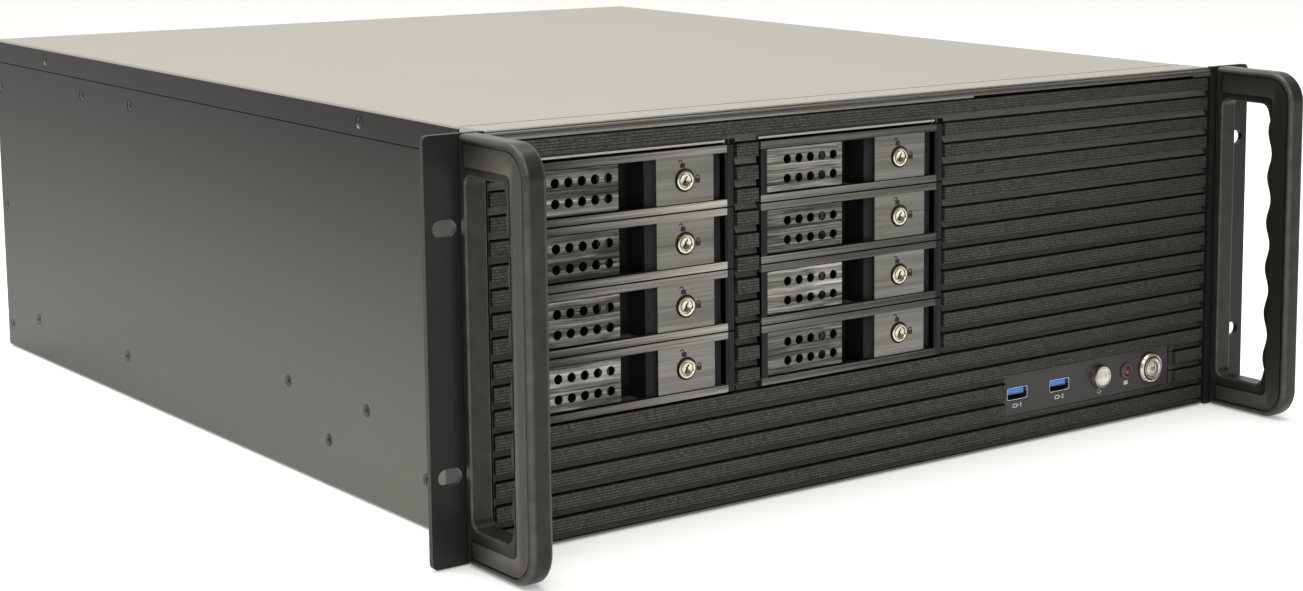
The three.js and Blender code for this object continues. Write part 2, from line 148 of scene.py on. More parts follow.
def node_bm(*names):
    bm = bmesh.new()
    for n in names:
        bm.from_mesh(NODES[n].data)
    bmesh.ops.remove_doubles(bm, verts=bm.verts, dist=2e-6)
    bmesh.ops.dissolve_limit(bm, angle_limit=math.radians(0.4), use_dissolve_boundaries=False, verts=bm.verts, edges=bm.edges, delimit=set())
    bmesh.ops.recalc_face_normals(bm, faces=bm.faces)
    for f in bm.faces:
        f.material_index = 0
    return bm


def mm(v):
    return (v.x * 1000, v.y * 1000 + YC, v.z * 1000)


def wear_layer(bm):
    return bm.verts.layers.float.get("wear") or bm.verts.layers.float.new("wear")


def bevel(bm, width, segs=2, angle=32, only=None, mat=-1):
    wear_layer(bm)
    edges = []
    for e in bm.edges:
        if len(e.link_faces) == 2 and e.calc_face_angle(0) > math.radians(angle):
            if only is None or only(mm(e.verts[0].co), mm(e.verts[1].co)):
                edges.append(e)
    if not edges:
        return bm
    res = bmesh.ops.bevel(bm, geom=edges, offset=width * 0.001, offset_type="OFFSET", segments=segs, profile=0.5, affect="EDGES", clamp_overlap=True, material=mat)
    lay = wear_layer(bm)
    new = {f for f in res["faces"] if f.is_valid}
    for v in {v for f in new for v in f.verts}:
        # only the crest of the rounding is worn, so flat faces stay plain
        if all(f in new for f in v.link_faces):
            v[lay] = 1.0
    return bm


def boolean(bm, cutter, op="DIFFERENCE"):
    """Cuts bm with the closed cutter mesh, exactly, and returns a new bmesh."""
    tidy(bm), tidy(cutter)
    obs = []
    for i, b in enumerate((bm, cutter)):
        me = bpy.data.meshes.new("tmp%d" % i)
        b.to_mesh(me)
        b.free()
        for k in range(6):
            me.materials.append(None)
        o = bpy.data.objects.new("tmp%d" % i, me)
        bpy.context.scene.collection.objects.link(o)
        obs.append(o)
    m = obs[0].modifiers.new("cut", "BOOLEAN")
    m.operation, m.solver, m.object, m.material_mode = op, "EXACT", obs[1], "INDEX"
    dg = bpy.context.evaluated_depsgraph_get()
    me = bpy.data.meshes.new_from_object(obs[0].evaluated_get(dg))
    out = bmesh.new()
    out.from_mesh(me)
    bpy.data.meshes.remove(me)
    for o in obs:
        d = o.data
        bpy.data.objects.remove(o)
        bpy.data.meshes.remove(d)
    bmesh.ops.remove_doubles(out, verts=out.verts, dist=2e-6)
    bmesh.ops.dissolve_degenerate(out, dist=1e-6, edges=out.edges)
    return out


def piece(name, bm, mats, body, replaces=(), smooth=40, weighted=True):
    bmesh.ops.recalc_face_normals(bm, faces=bm.faces)
    me = bpy.data.meshes.new(name)
    bm.to_mesh(me)
    bm.free()
    for m in mats if isinstance(mats, (list, tuple)) else [mats]:
        me.materials.append(m)
    me.polygons.foreach_set("use_smooth", [True] * len(me.polygons))
    me.set_sharp_from_angle(angle=math.radians(smooth))
    ob = bpy.data.objects.new(name, me)
    bpy.context.scene.collection.objects.link(ob)
    if weighted:
        w = ob.modifiers.new("weighted", "WEIGHTED_NORMAL")
        w.keep_sharp = True
        w.weight = 60
    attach(ob, body)
    if replaces:
        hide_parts(*replaces)
    return ob


# ------------------------------------------------------------------ materials
class Mat:
    def __init__(self, name, **consts):
        self.m = bpy.data.materials.new(name)
        self.m.use_nodes = True
        self.nt = self.m.node_tree
        self.b = self.nt.nodes["Principled BSDF"]
        self.co = self.new("ShaderNodeTexCoord").outputs["Object"]
        for k, v in consts.items():
            self.b.inputs[k.replace("_", " ")].default_value = v

    def new(self, kind, **props):
        n = self.nt.nodes.new(kind)
        for k, v in props.items():
            setattr(n, k, v)
        return n

    def link(self, a, b):
        self.nt.links.new(a, b)

    def put(self, socket, v):
        if hasattr(v, "is_output"):
            self.link(v, socket)
        elif isinstance(v, tuple) and len(v) == 3 and socket.type == "RGBA":
            socket.default_value = (*v, 1.0)
        else:
            socket.default_value = v

    def scaled(self, sx, sy, sz, rot=(0, 0, 0), src=None):
        n = self.new("ShaderNodeMapping")
        n.inputs["Scale"].default_value = (sx, sy, sz)
        n.inputs["Rotation"].default_value = rot
        self.link(src or self.co, n.inputs["Vector"])
        return n.outputs[0]

    def noise(self, scale, detail=3.0, rough=0.55, vec=None, dist=0.0):
        n = self.new("ShaderNodeTexNoise")
        n.inputs["Scale"].default_value = scale
        n.inputs["Detail"].default_value = detail
        n.inputs["Roughness"].default_value = rough
        n.inputs["Distortion"].default_value = dist
        self.link(vec or self.co, n.inputs["Vector"])
        return n.outputs["Fac"]

    def voronoi(self, scale, vec=None, feature="F1"):
        n = self.new("ShaderNodeTexVoronoi", feature=feature)
        n.inputs["Scale"].default_value = scale
        self.link(vec or self.co, n.inputs["Vector"])
        return n.outputs["Distance"]

    def math(self, op, a, b=0.0, clamp=False):
        n = self.new("ShaderNodeMath", operation=op, use_clamp=clamp)
        self.put(n.inputs[0], a)
        self.put(n.inputs[1], b)
        return n.outputs[0]

    def ramp(self, fac, *stops):
        n = self.new("ShaderNodeValToRGB")
        e = n.color_ramp.elements
        while len(e) < len(stops):
            e.new(0.5)
        for x, (p, c) in zip(e, stops):
            x.position = p
            x.color = (*c, 1.0) if isinstance(c, tuple) else (c, c, c, 1.0)
        self.link(fac, n.inputs["Fac"])
        return n.outputs["Color"]

    def mix(self, fac, a, b, mode="MIX"):
        n = self.new("ShaderNodeMix", data_type="RGBA", blend_type=mode)
        self.put(n.inputs["Factor"], fac)
        self.put(n.inputs["A"] if False else n.inputs[6], a)
        self.put(n.inputs[7], b)
        return n.outputs[2]

    def span(self, fac, a, b):
        n = self.new("ShaderNodeMapRange")
        n.inputs["To Min"].default_value = a
        n.inputs["To Max"].default_value = b
        self.link(fac, n.inputs["Value"])
        return n.outputs[0]

    def graded(self, tone, axis, a, b, fa, fb):
        h = self.new("ShaderNodeMapRange")
        h.inputs["From Min"].default_value = a * 0.001
        h.inputs["From Max"].default_value = b * 0.001
        h.inputs["To Min"].default_value = fa
        h.inputs["To Max"].default_value = fb
        self.link(self.xyz()[axis], h.inputs["Value"])
        v = self.new("ShaderNodeVectorMath", operation="SCALE")
        self.link(tone, v.inputs[0])
        self.link(h.outputs[0], v.inputs["Scale"])
        return v.outputs[0]

    def wear(self):
        n = self.new("ShaderNodeAttribute", attribute_name="wear")
        return n.outputs["Fac"]

    def xyz(self):
        n = self.new("ShaderNodeSeparateXYZ")
        self.link(self.co, n.inputs[0])
        return n.outputs

    def bump(self, height, strength, distance, normal=None):
        n = self.new("ShaderNodeBump")
        n.inputs["Strength"].default_value = strength
        n.inputs["Distance"].default_value = distance
        self.link(height, n.inputs["Height"])
        if normal is not None:
            self.link(normal, n.inputs["Normal"])
        return n.outputs[0]

    def tangent(self, axis):
        n = self.new("ShaderNodeTangent", direction_type="RADIAL", axis=axis)
        self.link(n.outputs[0], self.b.inputs["Tangent"])

    def out(self, colour=None, rough=None, normal=None):
        if colour is not None:
            self.put(self.b.inputs["Base Color"], colour)
        if rough is not None:
            self.put(self.b.inputs["Roughness"], rough)
        if normal is not None:
            self.link(normal, self.b.inputs["Normal"])
        return self.m


def coated(name, dark, light, r0, r1, grain=900.0, bump=0.25, metallic=0.3, wear=None, spec=0.5, streak=None, painted_shade_grade=None):
    """Powder or satin coat: orange-peel grain, slow tone drift, rubbed edges, and optionally a painted shade gradient
    over height and depth.
    """
    m = Mat(name, Metallic=metallic, Specular_IOR_Level=spec)
    fine = m.noise(grain, 2.0, 0.6)
    slow = m.noise(9.0, 3.0, 0.5)
    tone = m.mix(m.math("MULTIPLY", m.math("ADD", m.math("MULTIPLY", fine, 0.55), m.math("MULTIPLY", slow, 0.6)), 0.9, True), dark, light)
    if streak:
        s = m.noise(60.0, 3.0, 0.6, m.scaled(*streak))
        tone = m.mix(m.span(s, 0.0, 0.35), tone, light)
    if painted_shade_grade:
        # painted shade: the sheet is lighter low down and towards the front, darker high up and towards the rear
        tone = m.graded(tone, 2, 0, 170, painted_shade_grade[0], painted_shade_grade[1])
        tone = m.graded(tone, 1, -230, 290, 1.3, 0.7)
    if wear:
        tone = m.mix(m.math("MULTIPLY", m.wear(), m.span(m.noise(140.0, 3.0), 0.2, 0.9), True), tone, wear)
    rough = m.span(m.math("ADD", m.math("MULTIPLY", fine, 0.5), m.math("MULTIPLY", slow, 0.5)), r0, r1)
    return m.out(tone, rough, m.bump(fine, bump, 0.00012))


def brushed(name, dark, light, r0, r1, along="x", wavy=0.0, metallic=0.9, aniso=0.6, bump=0.35, fine=1.0, tangent=None, curve=0.0, painted_light_grade=None):
    """Brushed metal with hairlines along one axis, and slow waves where the sheet is textured, and optionally a painted
    light gradient along one axis.
    """
    m = Mat(name, Metallic=metallic, Anisotropic=aniso)
    s = {"x": (14, 900, 900), "y": (900, 14, 900), "z": (900, 900, 14)}[along]
    v = m.scaled(*[q * fine for q in s])
    if wavy:
        n = m.new("ShaderNodeVectorMath", operation="ADD")
        m.link(v, n.inputs[0])
        w = m.new("ShaderNodeVectorMath", operation="SCALE")
        c = m.new("ShaderNodeTexNoise")
        c.inputs["Scale"].default_value = 42.0
        c.inputs["Detail"].default_value = 1.0
        m.link(m.co, c.inputs["Vector"])
        m.link(c.outputs["Color"], w.inputs[0])
        w.inputs["Scale"].default_value = wavy
        m.link(w.outputs[0], n.inputs[1])
        v = n.outputs[0]
    hair = m.noise(1.0, 4.0, 0.65, v)
    wide = m.noise(0.22, 2.0, 0.5, v)
    f = m.math("ADD", m.math("MULTIPLY", hair, 0.55), m.math("MULTIPLY", wide, 0.6))
    f = m.math("ADD", m.math("MULTIPLY", m.math("SUBTRACT", f, 0.57), 2.6), 0.5, True)
    tone = m.mix(m.math("POWER", f, curve) if curve else f, dark, light)
    if painted_light_grade:
        # painted light gradient: (axis, from mm, to mm, tone there, tone there)
        tone = m.graded(tone, painted_light_grade[0], painted_light_grade[1], painted_light_grade[2], painted_light_grade[3], painted_light_grade[4])
    if tangent:
        m.tangent(tangent)
    return m.out(tone, m.span(f, r1, r0), m.bump(f, bump, 0.00012))


def plastic(name, dark, light, r0=0.35, r1=0.5, grain=1500.0, bump=0.2, **c):
    m = Mat(name, **c)
    fine = m.noise(grain, 2.0)
    slow = m.noise(25.0, 3.0)
    tone = m.mix(m.math("ADD", m.math("MULTIPLY", fine, 0.5), m.math("MULTIPLY", slow, 0.5)), dark, light)
    tone = m.mix(m.math("MULTIPLY", m.wear(), 0.25), tone, tuple(min(1.0, q * 1.8 + 0.02) for q in light))
    return m.out(tone, m.span(slow, r0, r1), m.bump(fine, bump, 0.0001))


# painted case sheet: satin warm grey with a very fine grain and faint rolling lines along its length, with painted
# shade that is lighter low and at the front, darker high and at the rear
M_CASE = coated("case_satin_grey", (0.066, 0.064, 0.056), (0.092, 0.09, 0.08), 0.36, 0.46, grain=2200, bump=0.1, metallic=0.6, wear=(0.15, 0.147, 0.13), streak=(0.25, 0.012, 1.0), spec=0.12, painted_shade_grade=(1.35, 0.12))
# the case steel again, painted much lighter as painted light from overhead, for the lid's top and the front lip
M_CASE_TOPLIT = coated("case_grey_painted_toplight", (0.3, 0.291, 0.25), (0.39, 0.379, 0.327), 0.33, 0.43, grain=2200, bump=0.1, metallic=0.8, wear=(0.32, 0.31, 0.27), streak=(1.0, 0.012, 0.25))
M_INNER = coated("inner_zinc_steel", (0.3, 0.294, 0.265), (0.46, 0.45, 0.405), 0.34, 0.5, grain=500, bump=0.1, metallic=0.8, wear=(0.6, 0.6, 0.58), streak=(1.0, 0.02, 0.2))
# near-black painted shade, put on the bezel's end strips beside the ears, the key slots and the backs of the USB
# cavities
M_SHADE_BLACK = coated("painted_shade_black", (0.008, 0.008, 0.008), (0.016, 0.016, 0.015), 0.45, 0.6, metallic=0.1)
M_EAR = coated("ear_black_grain", (0.014, 0.014, 0.013), (0.032, 0.0317, 0.0292), 0.36, 0.48, grain=1300, bump=0.5, metallic=0.3, spec=0.22, wear=(0.2, 0.196, 0.18))
M_CTRL = coated("control_plate_black", (0.032, 0.031, 0.03), (0.046, 0.045, 0.043), 0.36, 0.46, grain=1800, bump=0.12, metallic=0.3, wear=(0.12, 0.12, 0.12))
M_HANDLE = coated("handle_charcoal", (0.006, 0.0058, 0.0052), (0.017, 0.0167, 0.015), 0.26, 0.36, grain=1100, bump=0.45, metallic=0.4, spec=0.12, wear=(0.13, 0.128, 0.116))
M_INLAY = coated("handle_inlay_olive", (0.032, 0.0305, 0.0235), (0.055, 0.0525, 0.041), 0.34, 0.44, grain=700, bump=0.3, metallic=0.75, wear=(0.16, 0.15, 0.13))
M_SCREW = coated("screw_black_zinc", (0.007, 0.007, 0.0065), (0.016, 0.016, 0.015), 0.22, 0.34, grain=2500, bump=0.2, metallic=0.5, spec=0.3, wear=(0.45, 0.44, 0.4))


RIDGE = PITCH / 8


def louvre_material():
    """Extruded bars with fine lengthwise ridges under a dry coat: light dashes along each ridge, with painted highlight
    on the ridge crests and painted shade in the grooves between, and painted shade that darkens the bars towards the
    right.
    """
    m = Mat("louvre_black_ridged", Metallic=0.3, Specular_IOR_Level=0.4)
    x, y, z = m.xyz()
    t = m.math("DIVIDE", m.math("SUBTRACT", z, (LOUVRE_TOP - 0.2) * 0.001), RIDGE * 0.001)
    row = m.math("FLOOR", t)
    across = m.math("FRACT", t)
    comb = m.new("ShaderNodeCombineXYZ")
    m.link(m.math("MULTIPLY", x, 560.0), comb.inputs[0])
    m.link(m.math("MULTIPLY", row, 5.37), comb.inputs[2])
    dash = m.noise(1.0, 3.0, 0.7, comb.outputs[0])
    speck = m.noise(1700.0, 2.0, 0.6)
    slow = m.noise(11.0, 2.0)
    f = m.math("ADD", m.math("MULTIPLY", dash, 0.55), m.math("MULTIPLY", speck, 0.45))
    f = m.math("ADD", m.math("MULTIPLY", m.math("SUBTRACT", f, 0.5), 5.0), 0.38, True)
    # painted highlight on each ridge crest, painted shade in the grooves
    ridge = m.ramp(across, (0.0, 0.12), (0.16, 0.2), (0.34, 1.0), (0.82, 0.8), (1.0, 0.12))
    g = m.math("MULTIPLY", m.math("ADD", m.math("MULTIPLY", f, 0.75), 0.25), ridge)
    tone = m.mix(g, (0.003, 0.0032, 0.0028), (0.15, 0.151, 0.134))
    # painted shade: the bars grow darker towards the right
    tone = m.graded(tone, 0, 60, 210, 1.0, 0.72)
    tone = m.mix(m.span(slow, 0.0, 0.12), tone, (0.045, 0.045, 0.04))
    tone = m.mix(m.math("MULTIPLY", m.wear(), 0.35), tone, (0.1, 0.1, 0.09))
    return m.out(tone, m.span(g, 0.5, 0.62), m.bump(g, 0.4, 0.00015))


M_LOUVRE = louvre_material()
# bands behind the bars: lighter than the bar faces partly for a smoother finish and partly as painted light, and
# brighter towards the top as painted light from above
M_BAND_TOPLIT = brushed("louvre_band_smooth_painted_toplight", (0.045, 0.045, 0.04), (0.105, 0.104, 0.093), 0.36, 0.48, "x", metallic=0.35, aniso=0.0, bump=0.3, painted_light_grade=(2, 100, 165, 0.7, 1.9))
M_BORDER = brushed("bezel_top_border", (0.09, 0.089, 0.079), (0.2, 0.198, 0.176), 0.3, 0.42, "x", metallic=0.6, aniso=0.0, bump=0.3)
# the ring's horizontal bars in two painted copies of one brushed metal: the left stack's as painted highlight, darkest
# at its left end and brightest at its right, the right stack's as painted shade, darkening towards its right
M_RAIL_LIT = brushed("tray_rail_brushed_painted_highlight", (0.07, 0.068, 0.06), (0.46, 0.448, 0.395), 0.26, 0.4, "x", aniso=0.75, tangent="Z", bump=0.3, curve=1.3, painted_light_grade=(0, -190, -98, 0.12, 1.0))
M_RAIL_SHADED = brushed("tray_rail_painted_shade", (0.05, 0.049, 0.045), (0.24, 0.236, 0.212), 0.28, 0.42, "x", aniso=0.75, tangent="Z", bump=0.3, curve=1.3, painted_light_grade=(0, -76, 28, 1.0, 0.5))
# the same brushed ring metal on the upright bars, painted much darker as painted shade for the dark surroundings they
# reflect
M_RAILV_SHADED = brushed("tray_side_brushed_painted_shade", (0.012, 0.012, 0.013), (0.032, 0.032, 0.035), 0.3, 0.42, "z", aniso=0.6, tangent="X", bump=0.3)
# one lever metal in a lit and a shaded painted copy, for levers that catch more or less light
M_LEVER_LIT = brushed("lever_wavy_brushed_painted_highlight", (0.02, 0.02, 0.018), (0.52, 0.511, 0.46), 0.26, 0.42, "x", wavy=2.2, aniso=0.5, tangent="Z", bump=0.8, fine=1.5, curve=1.9)
M_LEVER_SHADED = brushed("lever_wavy_painted_shade", (0.02, 0.02, 0.0185), (0.4, 0.393, 0.353), 0.3, 0.44, "x", wavy=2.2, aniso=0.5, tangent="Z", bump=0.8, fine=1.5, curve=2.1)
M_PLATE = brushed("lock_plate_brushed", (0.1, 0.099, 0.088), (0.2, 0.198, 0.178), 0.3, 0.38, "x", aniso=0.6, tangent="Z", bump=0.25, fine=1.3)
M_LOCK = brushed("lock_polished", (0.36, 0.33, 0.25), (0.72, 0.68, 0.55), 0.12, 0.24, "z", metallic=1.0, aniso=0.0, bump=0.15)
M_CHROME = brushed("button_polished", (0.42, 0.41, 0.345), (0.74, 0.73, 0.64), 0.2, 0.3, "x", metallic=1.0, aniso=0.7, tangent="Y", bump=0.12, fine=1.6)
M_USB = brushed("usb_shell", (0.5, 0.5, 0.46), (0.75, 0.75, 0.7), 0.18, 0.3, "y", metallic=1.0, aniso=0.0, bump=0.1)
M_BLUE = plastic("usb_tongue_blue", (0.035, 0.19, 0.66), (0.06, 0.28, 0.85), 0.28, 0.4)
M_GOLD = brushed("contact_gold", (0.55, 0.38, 0.13), (0.85, 0.63, 0.28), 0.18, 0.3, "y", metallic=1.0, aniso=0.0, bump=0.1)
M_TRAYBLACK = plastic("tray_black_plastic", (0.005, 0.005, 0.0055), (0.011, 0.011, 0.011), 0.3, 0.42, grain=1700, bump=0.2)
M_STRIP = plastic("tray_dark_strip", (0.014, 0.0135, 0.015), (0.024, 0.0235, 0.026), 0.45, 0.6, grain=1700, bump=0.2, Specular_IOR_Level=0.08)
M_PRINT = plastic("print_dark", (0.012, 0.012, 0.011), (0.022, 0.022, 0.02), 0.4, 0.5, Specular_IOR_Level=0.2)
M_WHITE = plastic("print_white", (0.72, 0.72, 0.7), (0.85, 0.85, 0.83), 0.4, 0.5)
M_FAN = plastic("fan_black_plastic", (0.018, 0.018, 0.019), (0.03, 0.03, 0.031), 0.35, 0.5, grain=1200, bump=0.25)
M_CHIP = plastic("chip_black", (0.015, 0.015, 0.016), (0.028, 0.028, 0.03), 0.35, 0.5)
M_CONN = plastic("connector_cream", (0.5, 0.48, 0.4), (0.62, 0.6, 0.52), 0.35, 0.5)


def board_material():
    m = Mat("board_green_mask", Specular_IOR_Level=0.5, Coat_Weight=0.4, Coat_Roughness=0.2)
    c = m.xyz()
    lines = m.math("LESS_THAN", m.math("FRACT", m.math("MULTIPLY", c[0], 420.0)), 0.32)
    gate = m.math("GREATER_THAN", m.noise(1.0, 1.0, 0.5, m.scaled(90, 90, 18)), 0.5)
    traces = m.math("MULTIPLY", lines, gate)
    base = m.mix(m.noise(300.0, 2.0), (0.008, 0.05, 0.022), (0.014, 0.075, 0.035))
    tone = m.mix(m.math("MULTIPLY", traces, 0.8), base, (0.03, 0.16, 0.07))
    return m.out(tone, m.span(m.noise(60.0), 0.3, 0.45), m.bump(traces, 0.25, 0.0001))


M_BOARD = board_material()


def led_material():
    m = Mat("led_red_lens", Transmission_Weight=0.35, IOR=1.49, Coat_Weight=0.6, Coat_Roughness=0.08)
    f = m.noise(350.0, 2.0)
    return m.out(m.mix(f, (0.13, 0.003, 0.003), (0.3, 0.012, 0.01)), m.span(f, 0.1, 0.2), m.bump(f, 0.05, 0.0001))


M_LED = led_material()
M_LEDRING = plastic("led_holder", (0.06, 0.045, 0.045), (0.1, 0.08, 0.08), 0.3, 0.45)


def foam_material():
    m = Mat("filter_open_foam", Specular_IOR_Level=0.3)
    v = m.voronoi(700.0)
    n = m.noise(260.0, 3.0)
    f = m.math("MULTIPLY", v, 1.3, True)
    return m.out(m.mix(f, (0.005, 0.005, 0.005), (0.045, 0.045, 0.043)), m.span(n, 0.75, 0.95), m.bump(m.math("ADD", f, n), 0.9, 0.0006))


M_FOAM = foam_material()

# ------------------------------------------------------------------ case sheets with countersunk screws
LEFT_SCREWS_COVER = [(106, 170.6), (464.5, 170.6)]
LEFT_SCREWS = [(352.7, 155.4), (415.4, 155.4), (532.7, 150.4), (532.7, 82.3), (532.7, 13), (492.3, 22), (369.2, 22), (143.8, 21.5), (54.6, 21.5), (182.7, 42), (106.9, 42)]


def sink(bm, y, z, side, r=2.75):
    """Countersink cone for a screw in a side wall."""
    s = side
    lathe(bm, "x", y, z, [(0, s * (H + 1.0)), (r + 0.35, s * (H + 1.0)), (r + 0.35, s * (H - 0.02)), (r - 0.15, s * (H - 0.62)), (0, s * (H - 0.62))], 24)


def screw_head(bm, axis, ca, cb, t, out, r=2.7, turn=0.0):
    """Flat countersunk head with a cross recess. t is its face, out the way it faces."""
    pr = [(0, t - out * 0.55), (0.5, t - out * 0.5), (0.75, t - out * 0.02), (r - 0.35, t), (r, t - out * 0.16), (r - 0.55, t - out * 0.42), (0, t - out * 0.6)]
    # dished centre stands for the drive recess, and a cross is cut by four wedges of a star-shaped ring
    f = AX[axis]
    n = 24
    ringi, rings = [], []
    star = []
    for i in range(n):
        a = 2 * math.pi * i / n + turn
        k = i % 6
        rad = 1.75 if k == 0 else (1.55 if k in (1, 5) else 0.55)
        if k in (1, 5):
            # narrow arms: pull the neighbours towards the arm's side
            a = 2 * math.pi * (round(i / 6) * 6) / n + turn + (0.17 if k == 1 else -0.17)
        star.append((ca + rad * math.cos(a), cb + rad * math.sin(a)))
    outer = [(ca + (r - 0.3) * math.cos(2 * math.pi * i / n + turn), cb + (r - 0.3) * math.sin(2 * math.pi * i / n + turn)) for i in range(n)]
    low = [(ca + (a - ca) * 0.72, cb + (b - cb) * 0.72) for a, b in star]
    v_low = [bm.verts.new(W(*f(a, b, t - out * 0.5))) for a, b in low]
    v_star = [bm.verts.new(W(*f(a, b, t))) for a, b in star]
    v_out = [bm.verts.new(W(*f(a, b, t))) for a, b in outer]
    rim = [bm.verts.new(W(*f(ca + r * math.cos(2 * math.pi * i / n + turn), cb + r * math.sin(2 * math.pi * i / n + turn), t - out * 0.14))) for i in range(n)]
    under = [bm.verts.new(W(*f(ca + (r - 0.5) * math.cos(2 * math.pi * i / n + turn), cb + (r - 0.5) * math.sin(2 * math.pi * i / n + turn), t - out * 0.58))) for i in range(n)]
    bm.faces.new(v_low)
    quads(bm, v_low, v_star)
    quads(bm, v_star, v_out)
    quads(bm, v_out, rim)
    quads(bm, rim, under)
    bm.faces.new(under)


def with_sinks(bm, spots, sides=(-1, 1)):
    c = bmesh.new()
    for s in sides:
        for y, z in spots:
            sink(c, y, z, s)
    return boolean(bm, c)


def bottom_edge(a, b):
    return a[2] < 0.05 and b[2] < 0.05 and abs(a[0]) > H - 0.1 and abs(b[0]) > H - 0.1


pan = with_sinks(node_bm("base_pan"), LEFT_SCREWS)
bevel(pan, 1.0, 3, only=bottom_edge)
piece("case_pan", pan, M_CASE, BODY["base_pan"], ["base_pan"], weighted=True)


def top_edge(a, b):
    return a[2] > TOP - 0.6 and b[2] > TOP - 0.6 and ((abs(a[0]) > H - 0.3 and abs(b[0]) > H - 0.3) or (a[1] > REAR - 0.3 and b[1] > REAR - 0.3))


cover = bmesh.new()
# lid: one sheet folded down at both sides and at the rear, with a soft fold radius
R = 1.6
fold = [(-H, 164.3), (-H, TOP - R)] + arc(-H + R, TOP - R, R, 180, 90, 5)[1:] + arc(H - R, TOP - R, R, 90, 0, 5) + [(H, 164.3), (H - 1.2, 164.3), (H - 1.2, TOP - R)] + arc(H - R, TOP - R, R - 1.2, 0, 90, 3)[1:] + arc(-H + R, TOP - R, R - 1.2, 90, 180, 3) + [(-H + 1.2, 164.3)]
prism(cover, "y", fold, 21.2, REAR - 0.2)
rear_flange = bmesh.new()
box(rear_flange, -H + 0.9, H - 0.9, REAR - 1.4, REAR - 0.2, 165.8, TOP - 0.7)
cover = boolean(cover, rear_flange, "UNION")
cover = with_sinks(cover, LEFT_SCREWS_COVER)
bevel(cover, 0.22, 2, angle=60)
cover.normal_update()
# painted light: faces turned upward get the lighter top-lit copy, the folded sides keep the case grey
for f in cover.faces:
    f.material_index = 0 if f.normal.z > 0.35 else 1
piece("lid_sheet", cover, [M_CASE_TOPLIT, M_CASE], BODY["top_cover"], ["top_cover"])

fw = node_bm("front_wall")
bevel(fw, 0.3, 2)
piece("front_lip_and_wall", fw, M_CASE_TOPLIT, BODY["front_wall"], ["front_wall"])

sc = bmesh.new()
k = 0
for s in (-1, 1):
    for y, z in LEFT_SCREWS:
        k += 1
        screw_head(sc, "x", y, z, s * (H - 0.1), s, turn=0.4 * k)
piece("wall_screws", sc, M_SCREW, BODY["base_pan"], weighted=False)
sc = bmesh.new()
for s in (-1, 1):
    for y, z in LEFT_SCREWS_COVER:
        k += 1
        screw_head(sc, "x", y, z, s * (H - 0.1), s, turn=0.4 * k)
piece("lid_screws", sc, M_SCREW, BODY["top_cover"], weighted=False)

# ------------------------------------------------------------------ rear panel
rp = node_bm("rear_panel")
bevel(rp, 0.22, 2)
piece("rear_plate", rp, M_CASE, BODY["rear_panel"], ["rear_panel"])
sc = bmesh.new()
for x in (-200, -110, 0, 110, 200):
    k += 1
    screw_head(sc, "y", x, 169.3, REAR - 1.62, 1, turn=0.3 * k)
for i in range(7):
    # slot screws hold the blanks to the panel's upper shelf
    x = -70.5 - 20.32 * i
    lathe(sc, "y", x, 117.0, [(0, REAR - 1.85), (3.2, REAR - 1.85), (3.2, REAR - 1.0), (2.7, REAR - 0.55), (1.5, REAR - 0.35), (1.2, REAR - 0.9), (0, REAR - 0.95)], 20)
piece("rear_screws", sc, M_SCREW, BODY["rear_panel"], weighted=False)
for nm in ("rear_sill", "psu_plate"):
    if nm in NODES:
        q = node_bm(nm)
        bevel(q, 0.22, 2)
        piece(nm + "_sheet", q, M_CASE, BODY[nm], [nm])
sb = node_bm("slot_blanks")
vent = bmesh.new()
for i in range(7):
    x = -70.5 - 20.32 * i
    for j in range(12):
        z = 22 + 7.4 * j
        prism(vent, "y", rrect(x - 4.6, x + 4.6, z, z + 3.0, 1.4, 3), REAR - 7, REAR - 2)
sb = boolean(sb, vent)
bevel(sb, 0.15, 1, angle=60)
piece("expansion_blanks", sb, M_INNER, BODY["slot_blanks"], ["slot_blanks"])

# ------------------------------------------------------------------ louvred bezel and filter door
def rib_top(k):
    return LOUVRE_TOP - PITCH * k


def louvre_outline(zlo, zhi, back):
    """Seen from the side: a slit, a recessed band that leans back under the bar above, and a finely ridged bar face."""
    pts = []
    for k in range(16, -2, -1):
        zt = rib_top(k)
        zn = zt + PITCH
        b0, b1 = zt + 0.62, zt + 3.8
        pts += [(4.6, zt), (4.6, zt + 0.5), (2.0, zt + 0.51), (1.6, b0 + 0.25)]
        for g in (b0 + 1.15, b0 + 2.1):
            y = 1.6 + 1.0 * (g - b0 - 0.25) / 2.9
            pts += [(y, g), (y + 0.22, g + 0.08), (y + 0.16, g + 0.26)]
        pts += [(2.6, b1), (0.3, b1), (0.0, b1 + 0.25)]
        for i in range(4, -1, -1):
            z0, z1 = max(b1 + 0.27, zn - 0.2 - PITCH / 8 * (i + 1)), zn - 0.2 - PITCH / 8 * i
            pts += [(0.0, z0 + 0.02), (0.3, z1 - 0.2)]
        pts += [(0.0, zn - 0.2), (0.25, zn)]

    def y_at(z):
        for (y0, z0), (y1, z1) in zip(pts, pts[1:]):
            if z0 <= z <= z1 and z1 > z0:
                return y0 + (y1 - y0) * (z - z0) / (z1 - z0)
        return 0.0

    keep = [(y_at(zlo), zlo)] + [p for p in pts if zlo + 0.01 < p[1] < zhi - 0.01] + [(y_at(zhi), zhi)]
    return keep + [(back, zhi), (back, zlo)]


